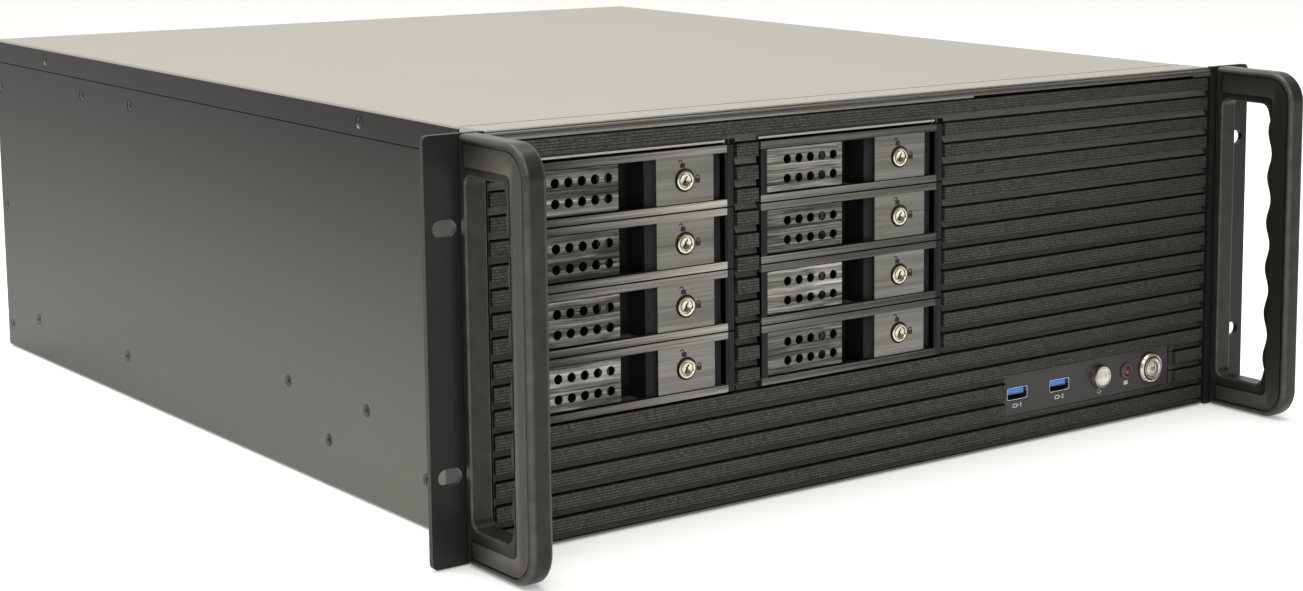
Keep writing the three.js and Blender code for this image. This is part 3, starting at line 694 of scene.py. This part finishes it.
bez = bmesh.new()
prism(bez, "x", louvre_outline(1.5, 175.2, 5.5), -211.3, 211.3)
lip = bmesh.new()
prism(lip, "x", [(3.0, 172.3), (3.0, TOP), (2.2, TOP), (1.4, 176.3), (1.7, 176.15), (1.6, 175.9), (0.85, 175.4), (0.5, 174.75), (0.9, 174.65), (0.85, 174.4), (0.3, 174.2), (0.1, 173.4), (0.35, 172.3)], -213.3, 213.3, (), 1)
bez = boolean(bez, lip, "UNION")
cuts = bmesh.new()
for x in MX:
    box(cuts, x - 53.2, x + 55.4, -2, 9, 51.95, 163.9)
box(cuts, 50.2, 200.4, -2, 9, 41.25, 173.2)
box(cuts, 73.9, 188.1, 1.9, 9, 14.1, 35.1)
bez = boolean(bez, cuts)
cuts = bmesh.new()
box(cuts, 72.8, 191.4, -2, 2.0, 14.1, 35.1)
bez = boolean(bez, cuts)
wear_layer(bez)


def mark_bands(bm):
    bm.normal_update()
    for f in bm.faces:
        x, y, z = mm(f.calc_center_median())
        if 1.45 < y < 2.75 and z < 172.2 and f.normal.y < -0.4 and f.material_index == 0:
            f.material_index = 2


bmesh.ops.recalc_face_normals(bez, faces=bez.faces)
mark_bands(bez)
# near-black strips at both ends of the bezel are painted shade beside the ears
for sx in (-1, 1):
    prism(bez, "z", [(sx * 211.25, 2.6), (sx * 213.42, 2.6), (sx * 213.42, 3.28), (sx * 211.25, 3.28)][::sx], 1.6, 172.2, (), 3)
    prism(bez, "z", [(sx * 211.35, 1.2), (sx * 212.0, 1.2), (sx * 212.0, 2.7), (sx * 211.35, 2.7)][::sx], 1.6, 172.1, (), 3)
piece("louvred_bezel", bez, [M_LOUVRE, M_BORDER, M_BAND_TOPLIT, M_SHADE_BLACK], BODY["front_bezel"], ["front_bezel"], smooth=20, weighted=False)

door = bmesh.new()
prism(door, "x", louvre_outline(41.45, 172.2, 5.3), 50.32, 200.28)
cuts = bmesh.new()
box(cuts, 60, 190, 3.7, 9, 52, 162)
door = boolean(door, cuts)
wear_layer(door)
bmesh.ops.recalc_face_normals(door, faces=door.faces)
mark_bands(door)
piece("filter_door_louvres", door, [M_LOUVRE, M_BORDER, M_BAND_TOPLIT], BODY["filter_door"], ["filter_door"], smooth=20, weighted=False)

flt = node_bm("dust_filter")
bevel(flt, 0.8, 2)
piece("filter_foam_panel", flt, M_FOAM, BODY["dust_filter"], ["dust_filter"])

# ------------------------------------------------------------------ ears and handles
def slot_outline(cx, cz, length, height, n=12):
    r = height / 2
    e = length / 2 - r
    return arc(cx + e, cz, r, -90, 90, n) + arc(cx - e, cz, r, 90, 270, n)


def ear(sign):
    bm = bmesh.new()
    out = rrect(213.5, 241.3, 0, 177.0, (0, 2.6, 2.6, 0), 5)
    holes = [slot_outline(232.5, z, 10.9, 7.0) for z in (37.7, 139.3)]
    prism(bm, "y", out, 0, 2.7, holes)
    fl = bmesh.new()
    box(fl, 213.5, 215.5, 1.0, 34, 6, 160)
    bm = boolean(bm, fl, "UNION")
    bevel(bm, 0.35, 2, angle=45)
    if sign < 0:
        for v in bm.verts:
            v.co.x = -v.co.x
    return bm


def loop_offset(loop, d):
    """Moves a closed loop of points to its left by d, with mitred corners."""
    n = len(loop)
    out = []
    for i in range(n):
        p0, p1, p2 = loop[i - 1], loop[i], loop[(i + 1) % n]
        a = Vector((p1[0] - p0[0], p1[1] - p0[1])).normalized()
        b = Vector((p2[0] - p1[0], p2[1] - p1[1])).normalized()
        na, nb = Vector((-a.y, a.x)), Vector((-b.y, b.x))
        m = na + nb
        if m.length < 1e-6:
            m = na
        m.normalize()
        out.append((p1[0] + m.x * d / max(0.35, m.dot(na)), p1[1] + m.y * d / max(0.35, m.dot(na))))
    return out


def handle(sign):
    x0, x1 = 216.2, 226.3
    outer = rrect(-51.9, -0.3, 0, 177.0, (15, 2.0, 2.0, 15), 12)
    a0, a1, z0, z1 = -37.6, -5.8, 16.2, 160.6
    inner = []
    inner += arc(a1 - 4, z0 + 4, 4, 270, 360, 6)
    inner += arc(a1 - 4, z1 - 4, 4, 0, 90, 6)
    inner += arc(a0 + 6.2, z1 - 5.0, 5.0, 90, 160, 5)
    z = z1 - 8.0
    while z > z0 + 8.0:
        inner.append((a0 + 1.3 * math.cos(2 * math.pi * (z - 30.8) / 23.3), z))
        z -= 2.0
    inner += arc(a0 + 6.2, z0 + 5.0, 5.0, 200, 270, 5)
    bm = bmesh.new()
    wl = wear_layer(bm)
    Ro, Ri = 2.3, 1.1
    levels = []
    for side in (0, 1):
        seq = []
        for i in range(6):
            t = math.radians(90 * i / 5)
            seq.append((math.sin(t), 1 - math.cos(t)))
        for s_, c_ in seq:
            levels.append((side, s_, c_))
    f = AX["x"]

    def ring(loop, x, w=0.0):
        vs = [bm.verts.new(W(*f(a, b, x))) for a, b in loop]
        for v in vs:
            v[wl] = w
        return vs

    def shell(loop, R_, inward):
        rings = []
        for i in range(6):
            t = math.radians(90 * i / 5)
            rings.append(ring(loop_offset(loop, inward * R_ * (1 - math.sin(t))), x0 + R_ * (1 - math.cos(t)), 0.35 + 0.65 * math.sin(2 * t)))
        for i in range(5, -1, -1):
            t = math.radians(90 * i / 5)
            rings.append(ring(loop_offset(loop, inward * R_ * (1 - math.sin(t))), x1 - R_ * (1 - math.cos(t)), 0.35 + 0.65 * math.sin(2 * t)))
        for a, b in zip(rings, rings[1:]):
            quads(bm, a, b)
        return rings[0], rings[-1], loop_offset(loop, inward * R_)

    o0, o1, ol = shell(outer, Ro, 1)
    i0, i1, il = shell(inner, Ri, -1)
    cap(bm, [o0, i0], [ol, il])
    cap(bm, [o1, i1], [ol, il])
    # recessed inlay band and the groove along its outer edge
    band_out = [(-5.5, 2.9 + 0.0)] + list(reversed(arc(-36.9, 15, 12.1, 180, 270, 12))) + [(-49.0, 162.0)] + list(reversed(arc(-36.9, 162, 12.1, 90, 180, 12)))[0:] + [(-5.5, 174.1)]
    band_out = [(-5.5, 2.9)] + arc(-36.9, 15.0, 12.1, 270, 180, 12) + arc(-36.9, 162.0, 12.1, 180, 90, 12) + [(-5.5, 174.1)]
    band_in = [(-5.5, 164.2)] + arc(-36.4, 161.4, 2.8, 90, 180, 5) + arc(-36.4, 13.6, 2.8, 180, 270, 5) + [(-5.5, 10.8)]
    band = band_out + band_in
    groove_in = [(-5.5, 173.35)] + arc(-36.9, 162.0, 11.35, 90, 180, 12) + arc(-36.9, 15.0, 11.35, 180, 270, 12) + [(-5.5, 3.65)]
    groove = band_out + groove_in
    c = bmesh.new()
    prism(c, "x", band, x0 - 1, x0 + 0.3, (), 1)
    prism(c, "x", band, x1 - 0.3, x1 + 1, (), 1)
    bm = boolean(bm, c)
    c = bmesh.new()
    prism(c, "x", groove, x0 - 1, x0 + 0.95, (), 0)
    prism(c, "x", groove, x1 - 0.95, x1 + 1, (), 0)
    bm = boolean(bm, c)
    wear_layer(bm)
    if sign < 0:
        for v in bm.verts:
            v.co.x = -v.co.x
    return bm


for sign, side in ((1, "right"), (-1, "left")):
    piece("ear_plate_" + side, ear(sign), M_EAR, BODY["rack_ear_" + side], ["rack_ear_" + side])
    piece("grip_handle_" + side, handle(sign), [M_HANDLE, M_INLAY], BODY["handle_" + side], ["handle_" + side], smooth=35)

# ------------------------------------------------------------------ drive stacks
def tray_front(n, xc, zc):
    body = BODY["drive_tray_%d" % n]
    c = bmesh.new()
    prism(c, "y", rrect(xc - 54, xc + 54, zc - 14.5, zc + 14.5, 0), -2, 3.19, [rrect(xc - 49.2, xc + 48.3, zc - 10.3, zc + 10.3, 0)])
    bm = boolean(node_bm("drive_tray_%d" % n), c)
    for f in bm.faces:
        x, y, z = mm(f.calc_center_median())
        if y < 30 and xc - 50 < x < xc + 48.5:
            f.material_index = 3 if y < 3.25 and x > xc + 8.5 else 2
        else:
            f.material_index = 4
    bars = bmesh.new()
    for z0, z1 in ((zc - 13.4, zc - 10.3), (zc + 10.3, zc + 13.4)):
        box(bars, xc - 52.6, xc + 49.3, -0.6, 3.2, z0, z1, 0)
    box(bars, xc - 52.55, xc - 49.2, -0.5, 3.2, zc - 10.29, zc + 10.29, 1)
    box(bars, xc + 48.3, xc + 49.35, -0.4, 3.2, zc - 10.29, zc + 10.29, 1)
    box(bars, xc + 49.35, xc + 52.6, -0.5, 3.2, zc - 13.35, zc + 13.35, 1)
    # thin inner step that frames the lever and the lock plate
    box(bars, xc - 49.19, xc - 48.75, 0.6, 3.1, zc - 10.28, zc + 10.28, 2)
    bevel(bars, 0.32, 2, only=lambda a, b: a[1] < -0.45 and b[1] < -0.45)
    me = bpy.data.meshes.new("t")
    bars.to_mesh(me)
    bars.free()
    wear_layer(bm)
    bm.from_mesh(me)
    bpy.data.meshes.remove(me)
    # left stack's bars take the painted-highlight copy, right stack's the painted-shade copy
    piece("tray_frame_%d" % n, bm, [M_RAIL_LIT if n < 5 else M_RAIL_SHADED, M_RAILV_SHADED, M_TRAYBLACK, M_STRIP, M_INNER], body, ["drive_tray_%d" % n], smooth=35)
    # brushed face plate with its lock hole
    pl = bmesh.new()
    hole = circle(xc + 27.7, zc, 4.75, 32)
    prism(pl, "y", rrect(xc + 13.0, xc + 42.8, zc - 10.05, zc + 10.05, 0.3, 2), 0.45, 0.85, [hole])
    wear_layer(pl)
    piece("face_plate_%d" % n, pl, M_PLATE, body, weighted=False)
    # open and closed padlock signs, and the ring round the lock
    ic = bmesh.new()
    for cx, cz, opened in ((xc + 34.4, zc, False), (xc + 26.6, zc + 7.0, True)):
        box(ic, cx - 1.25, cx + 1.25, 0.38, 0.47, cz - 1.7, cz + 0.3)
        px = cx - (1.1 if opened else 0)
        sh = arc(px, cz + 0.8, 1.1, 180, 0, 8)
        inn = arc(px, cz + 0.8, 0.6, 0, 180, 8)
        low = cz + (1.0 if opened else 0.25)
        prism(ic, "y", [(px - 1.1, low)] + sh + [(px + 1.1, cz + 0.25), (px + 0.6, cz + 0.25)] + inn + [(px - 0.6, low)], 0.38, 0.47)
    lathe(ic, "y", xc + 27.7, zc, [(4.72, 0.3), (5.15, 0.3), (5.15, 0.47), (4.72, 0.47)], 32, closed=True)
    piece("lock_signs_%d" % n, ic, M_PRINT, body, weighted=False)


def lever(n, xc, zc):
    bm = bmesh.new()
    holes = [circle(xc - 36.9 + 6.5 * i, zc + dz, 2.1, 20) for i in range(5) for dz in (-4.35, 4.35)]
    prism(bm, "y", rrect(xc - 48.1, xc - 5.9, zc - 9.62, zc + 9.62, 0.5, 2), 0.9, 2.1, holes)
    bevel(bm, 0.2, 2, angle=60)
    b2 = bmesh.new()
    box(b2, xc - 7.1, xc - 5.9, 2.1, 8.0, zc - 9.2, zc + 9.2, 1)
    prism(b2, "z", circle(xc - 46.4, 2.95, 0.95, 12), zc - 9.4, zc + 9.4, (), 1)
    bevel(b2, 0.15, 1)
    me = bpy.data.meshes.new("t")
    b2.to_mesh(me)
    b2.free()
    bm.from_mesh(me)
    bpy.data.meshes.remove(me)
    # levers 5 and 7 take the painted-highlight copy, the rest the painted-shade copy
    piece("perforated_lever_%d" % n, bm, [M_LEVER_LIT if n in (5, 7) else M_LEVER_SHADED, M_TRAYBLACK], BODY["tray_lever_%d" % n], ["tray_lever_%d" % n], smooth=35)


def key_lock(n, xc, zc):
    x = xc + 27.7
    bm = bmesh.new()
    lathe(bm, "y", x, zc, [(0, 0.25), (2.6, -0.3), (2.75, -0.25), (2.85, 0.35), (3.1, 0.35), (3.2, -0.3), (3.4, -0.5), (3.9, -0.5), (4.25, -0.3), (4.35, 0.1), (4.35, 13.8), (0, 13.8)], 36)
    c = bmesh.new()
    slot = [(-0.36, -2.0), (0.36, -2.0), (0.36, -0.55), (0.85, -0.2), (0.36, 0.25), (0.36, 2.0), (-0.36, 2.0), (-0.36, 0.8), (-0.8, 0.5), (-0.36, 0.1)]
    turn = math.radians(-28)
    slot = [(x + a * math.cos(turn) - b * math.sin(turn), zc + a * math.sin(turn) + b * math.cos(turn)) for a, b in slot]
    # the key slot's walls take the painted shade black
    prism(c, "y", slot, -1, 3.2, (), 1)
    bm = boolean(bm, c)
    wear_layer(bm)
    piece("lock_barrel_%d" % n, bm, [M_LOCK, M_SHADE_BLACK], BODY["key_lock_%d" % n], ["key_lock_%d" % n], smooth=30)


for m_, xc in enumerate(MX):
    for r_, zc in enumerate(RZ):
        n = m_ * 4 + r_ + 1
        tray_front(n, xc, zc)
        lever(n, xc, zc)
        key_lock(n, xc, zc)
    side = ("left", "right")[m_]
    cg = node_bm("drive_cage_" + side)
    lipb = bmesh.new()
    box(lipb, xc - 52.9, xc + 49.2, 0.7, 9.0, 163.3, 163.75)
    box(lipb, xc - 52.9, xc + 49.2, 0.7, 1.3, 162.3, 163.5)
    lipb = tidy(lipb)
    lip2 = bmesh.new()
    prism(lip2, "x", [(0.7, 162.75), (1.3, 162.75), (1.3, 163.25), (9.0, 163.25), (9.0, 163.75), (0.7, 163.75)], xc - 52.9, xc + 49.2)
    lipb.free()
    cg = boolean(cg, lip2, "UNION")
    bevel(cg, 0.15, 1, angle=60)
    piece("tray_cage_" + side, cg, M_INNER, BODY["drive_cage_" + side], ["drive_cage_" + side])
    bp = node_bm("backplane_" + side)
    for f in bp.faces:
        x, y, z = mm(f.calc_center_median())
        f.material_index = 1 if y < 190.2 else (2 if y > 192.2 else 0)
    bevel(bp, 0.2, 1, angle=60)
    piece("backplane_board_" + side, bp, [M_BOARD, M_CHIP, M_CONN], BODY["backplane_" + side], ["backplane_" + side])
    parts = bmesh.new()
    rnd = random.Random(11 + m_)
    for z in RZ:
        for i in range(9):
            x = xc - 22 + i * 6.4
            hgt = rnd.choice((0.9, 1.3, 2.2))
            w = rnd.choice((1.2, 1.8, 2.6))
            box(parts, x - w, x + w, 192.0, 192.0 + hgt, z - 1.5 - rnd.random() * 3, z + 1.6, 0)
        for i in range(3):
            lathe(parts, "y", xc + 38 + i * 5.2, z + 1.0, [(0, 192.0), (2.0, 192.0), (2.1, 196.6), (1.8, 197.2), (1.1, 197.25), (0, 197.1)], 16, 1)
    bevel(parts, 0.15, 1)
    piece("backplane_parts_" + side, parts, [M_CHIP, M_USB], BODY["backplane_" + side], weighted=False)

# ------------------------------------------------------------------ control plate
USBX, RESET, LED, POWER = (82.4, 110.8), (138.2, 25.5), (157.4, 25.5), (174.1, 24.9)
cp = bmesh.new()
holes = [rrect(x - 7.0, x + 7.0, CTRL_Z - 3.4, CTRL_Z + 3.4, 0.5, 2) for x in USBX]
holes += [circle(*RESET, 6.15, 32), circle(*LED, 2.9, 24), circle(*POWER, 6.85, 32)]
prism(cp, "y", rrect(74.2, 187.8, 14.4, 34.8, 0.4, 2), 2.4, 4.0, holes)
bevel(cp, 0.15, 1, angle=60)
piece("control_face", cp, M_CTRL, BODY["control_plate"], ["control_plate"])
for i, x in enumerate(USBX):
    bm = bmesh.new()
    z0 = CTRL_Z
    outer = rrect(x - 6.7, x + 6.7, z0 - 3.05, z0 + 3.05, 0.7, 4)
    inner = rrect(x - 6.25, x + 6.25, z0 - 2.6, z0 + 2.6, 0.45, 4)
    flare = rrect(x - 6.95, x + 6.95, z0 - 3.3, z0 + 3.3, 0.9, 4)
    f = AX["y"]
    rings = []
    for loop, y in ((outer, 2.5), (outer, 2.9), (outer, 16.0)):
        rings.append([bm.verts.new(W(*f(a, b, y))) for a, b in loop])
    rings_in = []
    for loop, y in ((inner, 14.0), (inner, 5.0), (inner, 3.0), (rrect(x - 6.5, x + 6.5, z0 - 2.85, z0 + 2.85, 0.6, 4), 2.5)):
        rings_in.append([bm.verts.new(W(*f(a, b, y))) for a, b in loop])
    quads(bm, rings[0], rings[1]), quads(bm, rings[1], rings[2])
    bm.faces.new(rings[2])
    # the deep back of the cavity takes the painted shade black
    back = bm.faces.new(rings_in[0])
    back.material_index = 1
    quads(bm, rings_in[0], rings_in[1], 1)
    quads(bm, rings_in[1], rings_in[2])
    quads(bm, rings_in[2], rings_in[3])
    quads(bm, rings_in[3], rings[0])
    piece("usb_shell_%d" % (i + 1), bm, [M_USB, M_SHADE_BLACK], BODY["usb_port_%d" % (i + 1)], ["usb_port_%d" % (i + 1)], smooth=35)
    bm = bmesh.new()
    box(bm, x - 5.6, x + 5.3, 3.9, 13.9, z0 - 0.3, z0 + 2.1, 0)
    bevel(bm, 0.2, 2)
    for j in range(5):
        box(bm, x - 4.4 + 2.0 * j, x - 3.6 + 2.0 * j, 3.1, 12, z0 - 0.45, z0 - 0.35, 1)
    piece("usb_tongue_%d" % (i + 1), bm, [M_BLUE, M_GOLD], BODY["usb_port_%d" % (i + 1)])

# reset button: polished plunger in a thin collar
bm = bmesh.new()
x, z = RESET
lathe(bm, "y", x, z, [(0, -0.45), (2.2, -0.62), (4.35, -0.8), (4.45, -0.62), (4.6, -0.62), (4.72, -0.88), (5.15, -1.0), (5.45, -0.8), (5.6, -0.3), (5.95, 1.0), (6.08, 1.9), (6.08, 8.4), (3, 8.4), (3, 16), (0, 16)], 48)
wear_layer(bm)
piece("reset_plunger", bm, M_CHROME, BODY["reset_button"], ["reset_button"], smooth=30)

bm = bmesh.new()
x, z = POWER
lathe(bm, "y", x, z, [(5.9, 0.3), (6.15, -0.2), (6.6, -0.3), (7.1, -0.15), (7.75, 0.75), (7.75, 2.1), (6.6, 2.1), (6.6, 13.0), (5.9, 13.0)], 56, closed=True)
wear_layer(bm)
piece("power_ring", bm, M_CHROME, BODY["power_button_ring"], ["power_button_ring"], smooth=30)
bm = bmesh.new()
lathe(bm, "y", x, z, [(0, -0.55), (3.55, -0.55), (3.75, -0.45), (4.1, -0.45), (4.3, -0.6), (5.2, -0.72), (5.45, -0.6), (5.55, -0.3), (5.55, 8.4), (3, 8.4), (3, 16), (0, 16)], 48)
wear_layer(bm)
piece("power_plunger", bm, M_CHROME, BODY["power_button"], ["power_button"], smooth=30)
bm = bmesh.new()
sym = arc(x, z, 2.35, 125, 415, 26) + arc(x, z, 1.85, 415, 125, 26)
prism(bm, "y", sym, -0.63, -0.54)
prism(bm, "y", rrect(x - 0.27, x + 0.27, z + 0.5, z + 2.75, 0.2, 3), -0.63, -0.54)
piece("power_sign", bm, M_WHITE, BODY["power_button"], weighted=False)

bm = bmesh.new()
x, z = LED
lathe(bm, "y", x, z, [(2.55, 1.2), (3.0, 1.0), (3.75, 1.5), (3.8, 2.2), (2.55, 2.2)], 32, mat=1, closed=True)
lathe(bm, "y", x, z, [(0, 0.55), (0.8, 0.62), (1.55, 0.9), (2.15, 1.45), (2.4, 2.1), (2.4, 8.0), (0, 8.0)], 28, mat=0)
piece("disk_light", bm, [M_LED, M_LEDRING], BODY["hdd_light"], ["hdd_light"], smooth=40)

# small printed signs below the controls: figures 1 and 2, a turning arrow, a disk stack
bm = bmesh.new()


def stroke(pts, w=0.36, y0=2.3, y1=2.42):
    for (ax_, az_), (bx_, bz_) in zip(pts, pts[1:]):
        d = Vector((bx_ - ax_, bz_ - az_)).normalized() * (w / 2)
        nx, nz = -d.y, d.x
        prism(bm, "y", [(ax_ - d.x + nx, az_ - d.y + nz), (ax_ - d.x - nx, az_ - d.y - nz), (bx_ + d.x - nx, bz_ + d.y - nz), (bx_ + d.x + nx, bz_ + d.y + nz)], y0, y1)


def trident(x, z):
    # plain socket sign: a small outlined plug
    stroke([(x - 2.4, z - 0.75), (x - 2.4, z + 0.75), (x + 0.3, z + 0.75), (x + 0.3, z - 0.75), (x - 2.4, z - 0.75)], 0.3)
    stroke([(x + 0.6, z), (x + 1.1, z)], 0.3)


for i, x in enumerate(USBX):
    trident(x - 0.6, 19.0)
stroke([(USBX[0] + 1.7, 19.6), (USBX[0] + 2.2, 20.0), (USBX[0] + 2.2, 18.1)], 0.34)
stroke([(USBX[1] + 1.5, 19.6), (USBX[1] + 1.9, 20.0), (USBX[1] + 2.5, 19.9), (USBX[1] + 2.6, 19.3), (USBX[1] + 1.5, 18.15), (USBX[1] + 2.8, 18.15)], 0.32)
pts = arc(RESET[0] + 0.2, 17.6, 1.1, 60, 360, 10)
stroke(pts, 0.3)
stroke([(pts[-1][0] - 0.6, pts[-1][1] - 0.1), pts[-1], (pts[-1][0] + 0.65, pts[-1][1] - 0.2)], 0.28)
for dz in (0.7, 0.0, -0.7):
    stroke([(LED[0] - 1.2, 19.3 + dz), (LED[0] + 1.2, 19.3 + dz)], 0.42)
piece("control_signs", bm, M_WHITE, BODY["control_plate"], weighted=False)

cb = node_bm("control_board")
bevel(cb, 0.15, 1)
piece("control_circuit", cb, M_BOARD, BODY["control_board"], ["control_board"])

# ------------------------------------------------------------------ fans and inner brackets
for name in ("fan_wall", "board_tray", "psu_bracket"):
    bm = node_bm(name)
    bevel(bm, 0.18, 1, angle=60)
    piece(name + "_sheet", bm, M_INNER, BODY[name], [name])

FANZ = 64.0
for i, xf in enumerate((-124, 0, 124)):
    bm = bmesh.new()
    prism(bm, "y", rrect(xf - 60, xf + 60, FANZ - 60, FANZ + 60, 5, 5), 216.6, 241.6, [circle(xf, FANZ, 57.5, 64)])
    holes = bmesh.new()
    for sx in (-1, 1):
        for sz in (-1, 1):
            prism(holes, "y", circle(xf + sx * 52.5, FANZ + sz * 52.5, 2.2, 16), 215, 243)
    bm = boolean(bm, holes)
    st = bmesh.new()
    lathe(st, "y", xf, FANZ, [(0, 238.6), (22, 238.6), (22, 241.2), (21.4, 241.6), (0, 241.6)], 40)
    bm = boolean(bm, st, "UNION")
    st = bmesh.new()
    for q in range(4):
        a = math.radians(45 + 90 * q)
        d = (math.cos(a), math.sin(a))
        p = (-d[1], d[0])
        pts = [(xf + d[0] * 20 + p[0] * 2.4, FANZ + d[1] * 20 + p[1] * 2.4), (xf + d[0] * 20 - p[0] * 2.4, FANZ + d[1] * 20 - p[1] * 2.4), (xf + d[0] * 58.2 - p[0] * 1.6, FANZ + d[1] * 58.2 - p[1] * 1.6), (xf + d[0] * 58.2 + p[0] * 1.6, FANZ + d[1] * 58.2 + p[1] * 1.6)]
        prism(st, "y", pts, 239.0, 241.2)
    bm = boolean(bm, st, "UNION")
    bevel(bm, 0.3, 1, angle=50)
    piece("fan_housing_%d" % (i + 1), bm, M_FAN, BODY["fan_frame_%d" % (i + 1)], ["fan_frame_%d" % (i + 1)])
    # rotor: hub and seven swept, twisted blades
    bm = bmesh.new()
    lathe(bm, "y", xf, FANZ, [(0, 217.6), (18.6, 217.6), (20.3, 218.1), (21.0, 219.4), (21.0, 238.0), (0, 238.0)], 48)
    nr, nc = 8, 7
    for b_ in range(7):
        grid = []
        for r_ in range(nr + 1):
            t = r_ / nr
            rad = 20.0 + 34.6 * t
            pitch = math.radians(52 - 22 * t)
            chord = 19 + 9 * t
            row_t, row_b = [], []
            for c_ in range(nc + 1):
                u = c_ / nc - 0.5
                th = 2 * math.pi * b_ / 7 + 0.28 * t * t + u * chord * math.cos(pitch) / rad
                y = 227.8 + u * chord * math.sin(pitch) + 1.6 * (0.25 - u * u) * 2
                tk = 0.45 + 0.75 * max(0.0, 1 - (2 * u) ** 2) * (1 - 0.4 * t)
                row_t.append(bm.verts.new(W(xf + rad * math.cos(th), y - tk, FANZ + rad * math.sin(th))))
                row_b.append(bm.verts.new(W(xf + rad * math.cos(th), y + tk, FANZ + rad * math.sin(th))))
            grid.append((row_t, row_b))
        for r_ in range(nr):
            for c_ in range(nc):
                for s_ in (0, 1):
                    a, b2 = grid[r_][s_], grid[r_ + 1][s_]
                    bm.faces.new((a[c_], a[c_ + 1], b2[c_ + 1], b2[c_]))
            for c_ in (0, nc):
                bm.faces.new((grid[r_][0][c_], grid[r_ + 1][0][c_], grid[r_ + 1][1][c_], grid[r_][1][c_]))
        for r_ in (0, nr):
            for c_ in range(nc):
                bm.faces.new((grid[r_][0][c_], grid[r_][0][c_ + 1], grid[r_][1][c_ + 1], grid[r_][1][c_]))
    piece("fan_blades_%d" % (i + 1), bm, M_FAN, BODY["fan_rotor_%d" % (i + 1)], ["fan_rotor_%d" % (i + 1)], smooth=50)

# ------------------------------------------------------------------ floor, light, camera
fl = bmesh.new()
S = 9000
vs = [fl.verts.new(W(x, y, -0.6)) for x, y in ((-S, -S), (S, -S), (S, S), (-S, S))]
fl.faces.new(vs)
me = bpy.data.meshes.new("floor")
fl.to_mesh(me)
fl.free()
floor = bpy.data.objects.new("floor", me)
bpy.context.scene.collection.objects.link(floor)
mf = Mat("floor_pale", Specular_IOR_Level=0.2)
mf.b.inputs["Emission Color"].default_value = (1, 1, 1, 1)
mf.b.inputs["Emission Strength"].default_value = 0.3
me.materials.append(mf.out(mf.mix(mf.noise(6.0, 3.0), (0.86, 0.86, 0.855), (0.9, 0.9, 0.895)), mf.span(mf.noise(30.0), 0.6, 0.7), mf.bump(mf.noise(400.0), 0.02, 0.0002)))


def area(name, loc, target, sx, sy, power, colour=(1, 1, 1)):
    l = bpy.data.lights.new(name, "AREA")
    l.shape, l.size, l.size_y, l.energy, l.color = "RECTANGLE", sx, sy, power, colour
    o = bpy.data.objects.new(name, l)
    o.location = loc
    o.rotation_mode = "QUATERNION"
    o.rotation_quaternion = (Vector(target) - Vector(loc)).to_track_quat("-Z", "Y")
    bpy.context.scene.collection.objects.link(o)
    return o


area("top_softbox", (-0.1, 0.15, 1.7), (0, 0.05, 0.1), 1.8, 1.8, 34, (1.0, 0.985, 0.95))
area("front_softbox", (-1.1, -1.9, 1.5), (0, -0.1, 0.1), 1.4, 1.0, 17, (1.0, 0.985, 0.955))

world = bpy.data.worlds.new("studio")
bpy.context.scene.world = world
world.use_nodes = True
nt = world.node_tree
bg = nt.nodes["Background"]
bg.inputs["Strength"].default_value = 1.0
bg.inputs["Color"].default_value = (1, 1, 1, 1)
soft = nt.nodes.new("ShaderNodeBackground")
soft.inputs["Strength"].default_value = 1.0
lp = nt.nodes.new("ShaderNodeLightPath")
mixs = nt.nodes.new("ShaderNodeMixShader")
tc = nt.nodes.new("ShaderNodeTexCoord")
sep = nt.nodes.new("ShaderNodeSeparateXYZ")
nt.links.new(tc.outputs["Generated"], sep.inputs[0])


def world_ramp(src, *stops):
    mr = nt.nodes.new("ShaderNodeMapRange")
    mr.inputs["From Min"].default_value = -1.0
    nt.links.new(src, mr.inputs["Value"])
    rn = nt.nodes.new("ShaderNodeValToRGB")
    nt.links.new(mr.outputs[0], rn.inputs["Fac"])
    e = rn.color_ramp.elements
    while len(e) < len(stops):
        e.new(0.5)
    for x, (p_, c_) in zip(e, stops):
        x.position = p_
        x.color = (c_, c_ * 0.985, c_ * 0.955, 1)
    return rn.outputs["Color"]


# pale backdrop behind, dim room in front, soft ceiling
back = world_ramp(sep.outputs[1], (0.0, 0.16), (0.45, 0.22), (0.62, 0.75), (0.85, 1.0))
ceil = world_ramp(sep.outputs[2], (0.0, 0.3), (0.55, 0.0), (0.8, 0.35), (1.0, 0.8))
mx = nt.nodes.new("ShaderNodeMix")
mx.data_type, mx.blend_type = "RGBA", "LIGHTEN"
mx.inputs["Factor"].default_value = 1.0
nt.links.new(back, mx.inputs[6])
nt.links.new(ceil, mx.inputs[7])
nt.links.new(mx.outputs[2], soft.inputs["Color"])
nt.links.new(lp.outputs["Is Camera Ray"], mixs.inputs[0])
nt.links.new(soft.outputs[0], mixs.inputs[1])
nt.links.new(bg.outputs[0], mixs.inputs[2])
nt.links.new(mixs.outputs[0], nt.nodes["World Output"].inputs["Surface"])

cam = bpy.data.cameras.new("camera")
cam.sensor_width = 36.0
cam.lens = 36.0 * 2427.0 / 1303.0
cam.shift_x, cam.shift_y = -0.19, -0.08
cam.clip_start, cam.clip_end = 0.05, 50.0
co = bpy.data.objects.new("camera", cam)
bpy.context.scene.collection.objects.link(co)
yaw, pitch, roll = math.radians(40.23), math.radians(-8.54), math.radians(0.23)
d = Vector((math.sin(yaw) * math.cos(pitch), math.cos(yaw) * math.cos(pitch), math.sin(pitch)))
r = Vector((math.cos(yaw), -math.sin(yaw), 0))
u = r.cross(d)
r2 = r * math.cos(roll) + u * math.sin(roll)
u2 = -r * math.sin(roll) + u * math.cos(roll)
co.matrix_world = Matrix((r2, u2, -d)).transposed().to_4x4()
co.location = W(-709.0, -843.0, 298.0)
bpy.context.scene.camera = co
bpy.context.scene.view_settings.view_transform = "Standard"
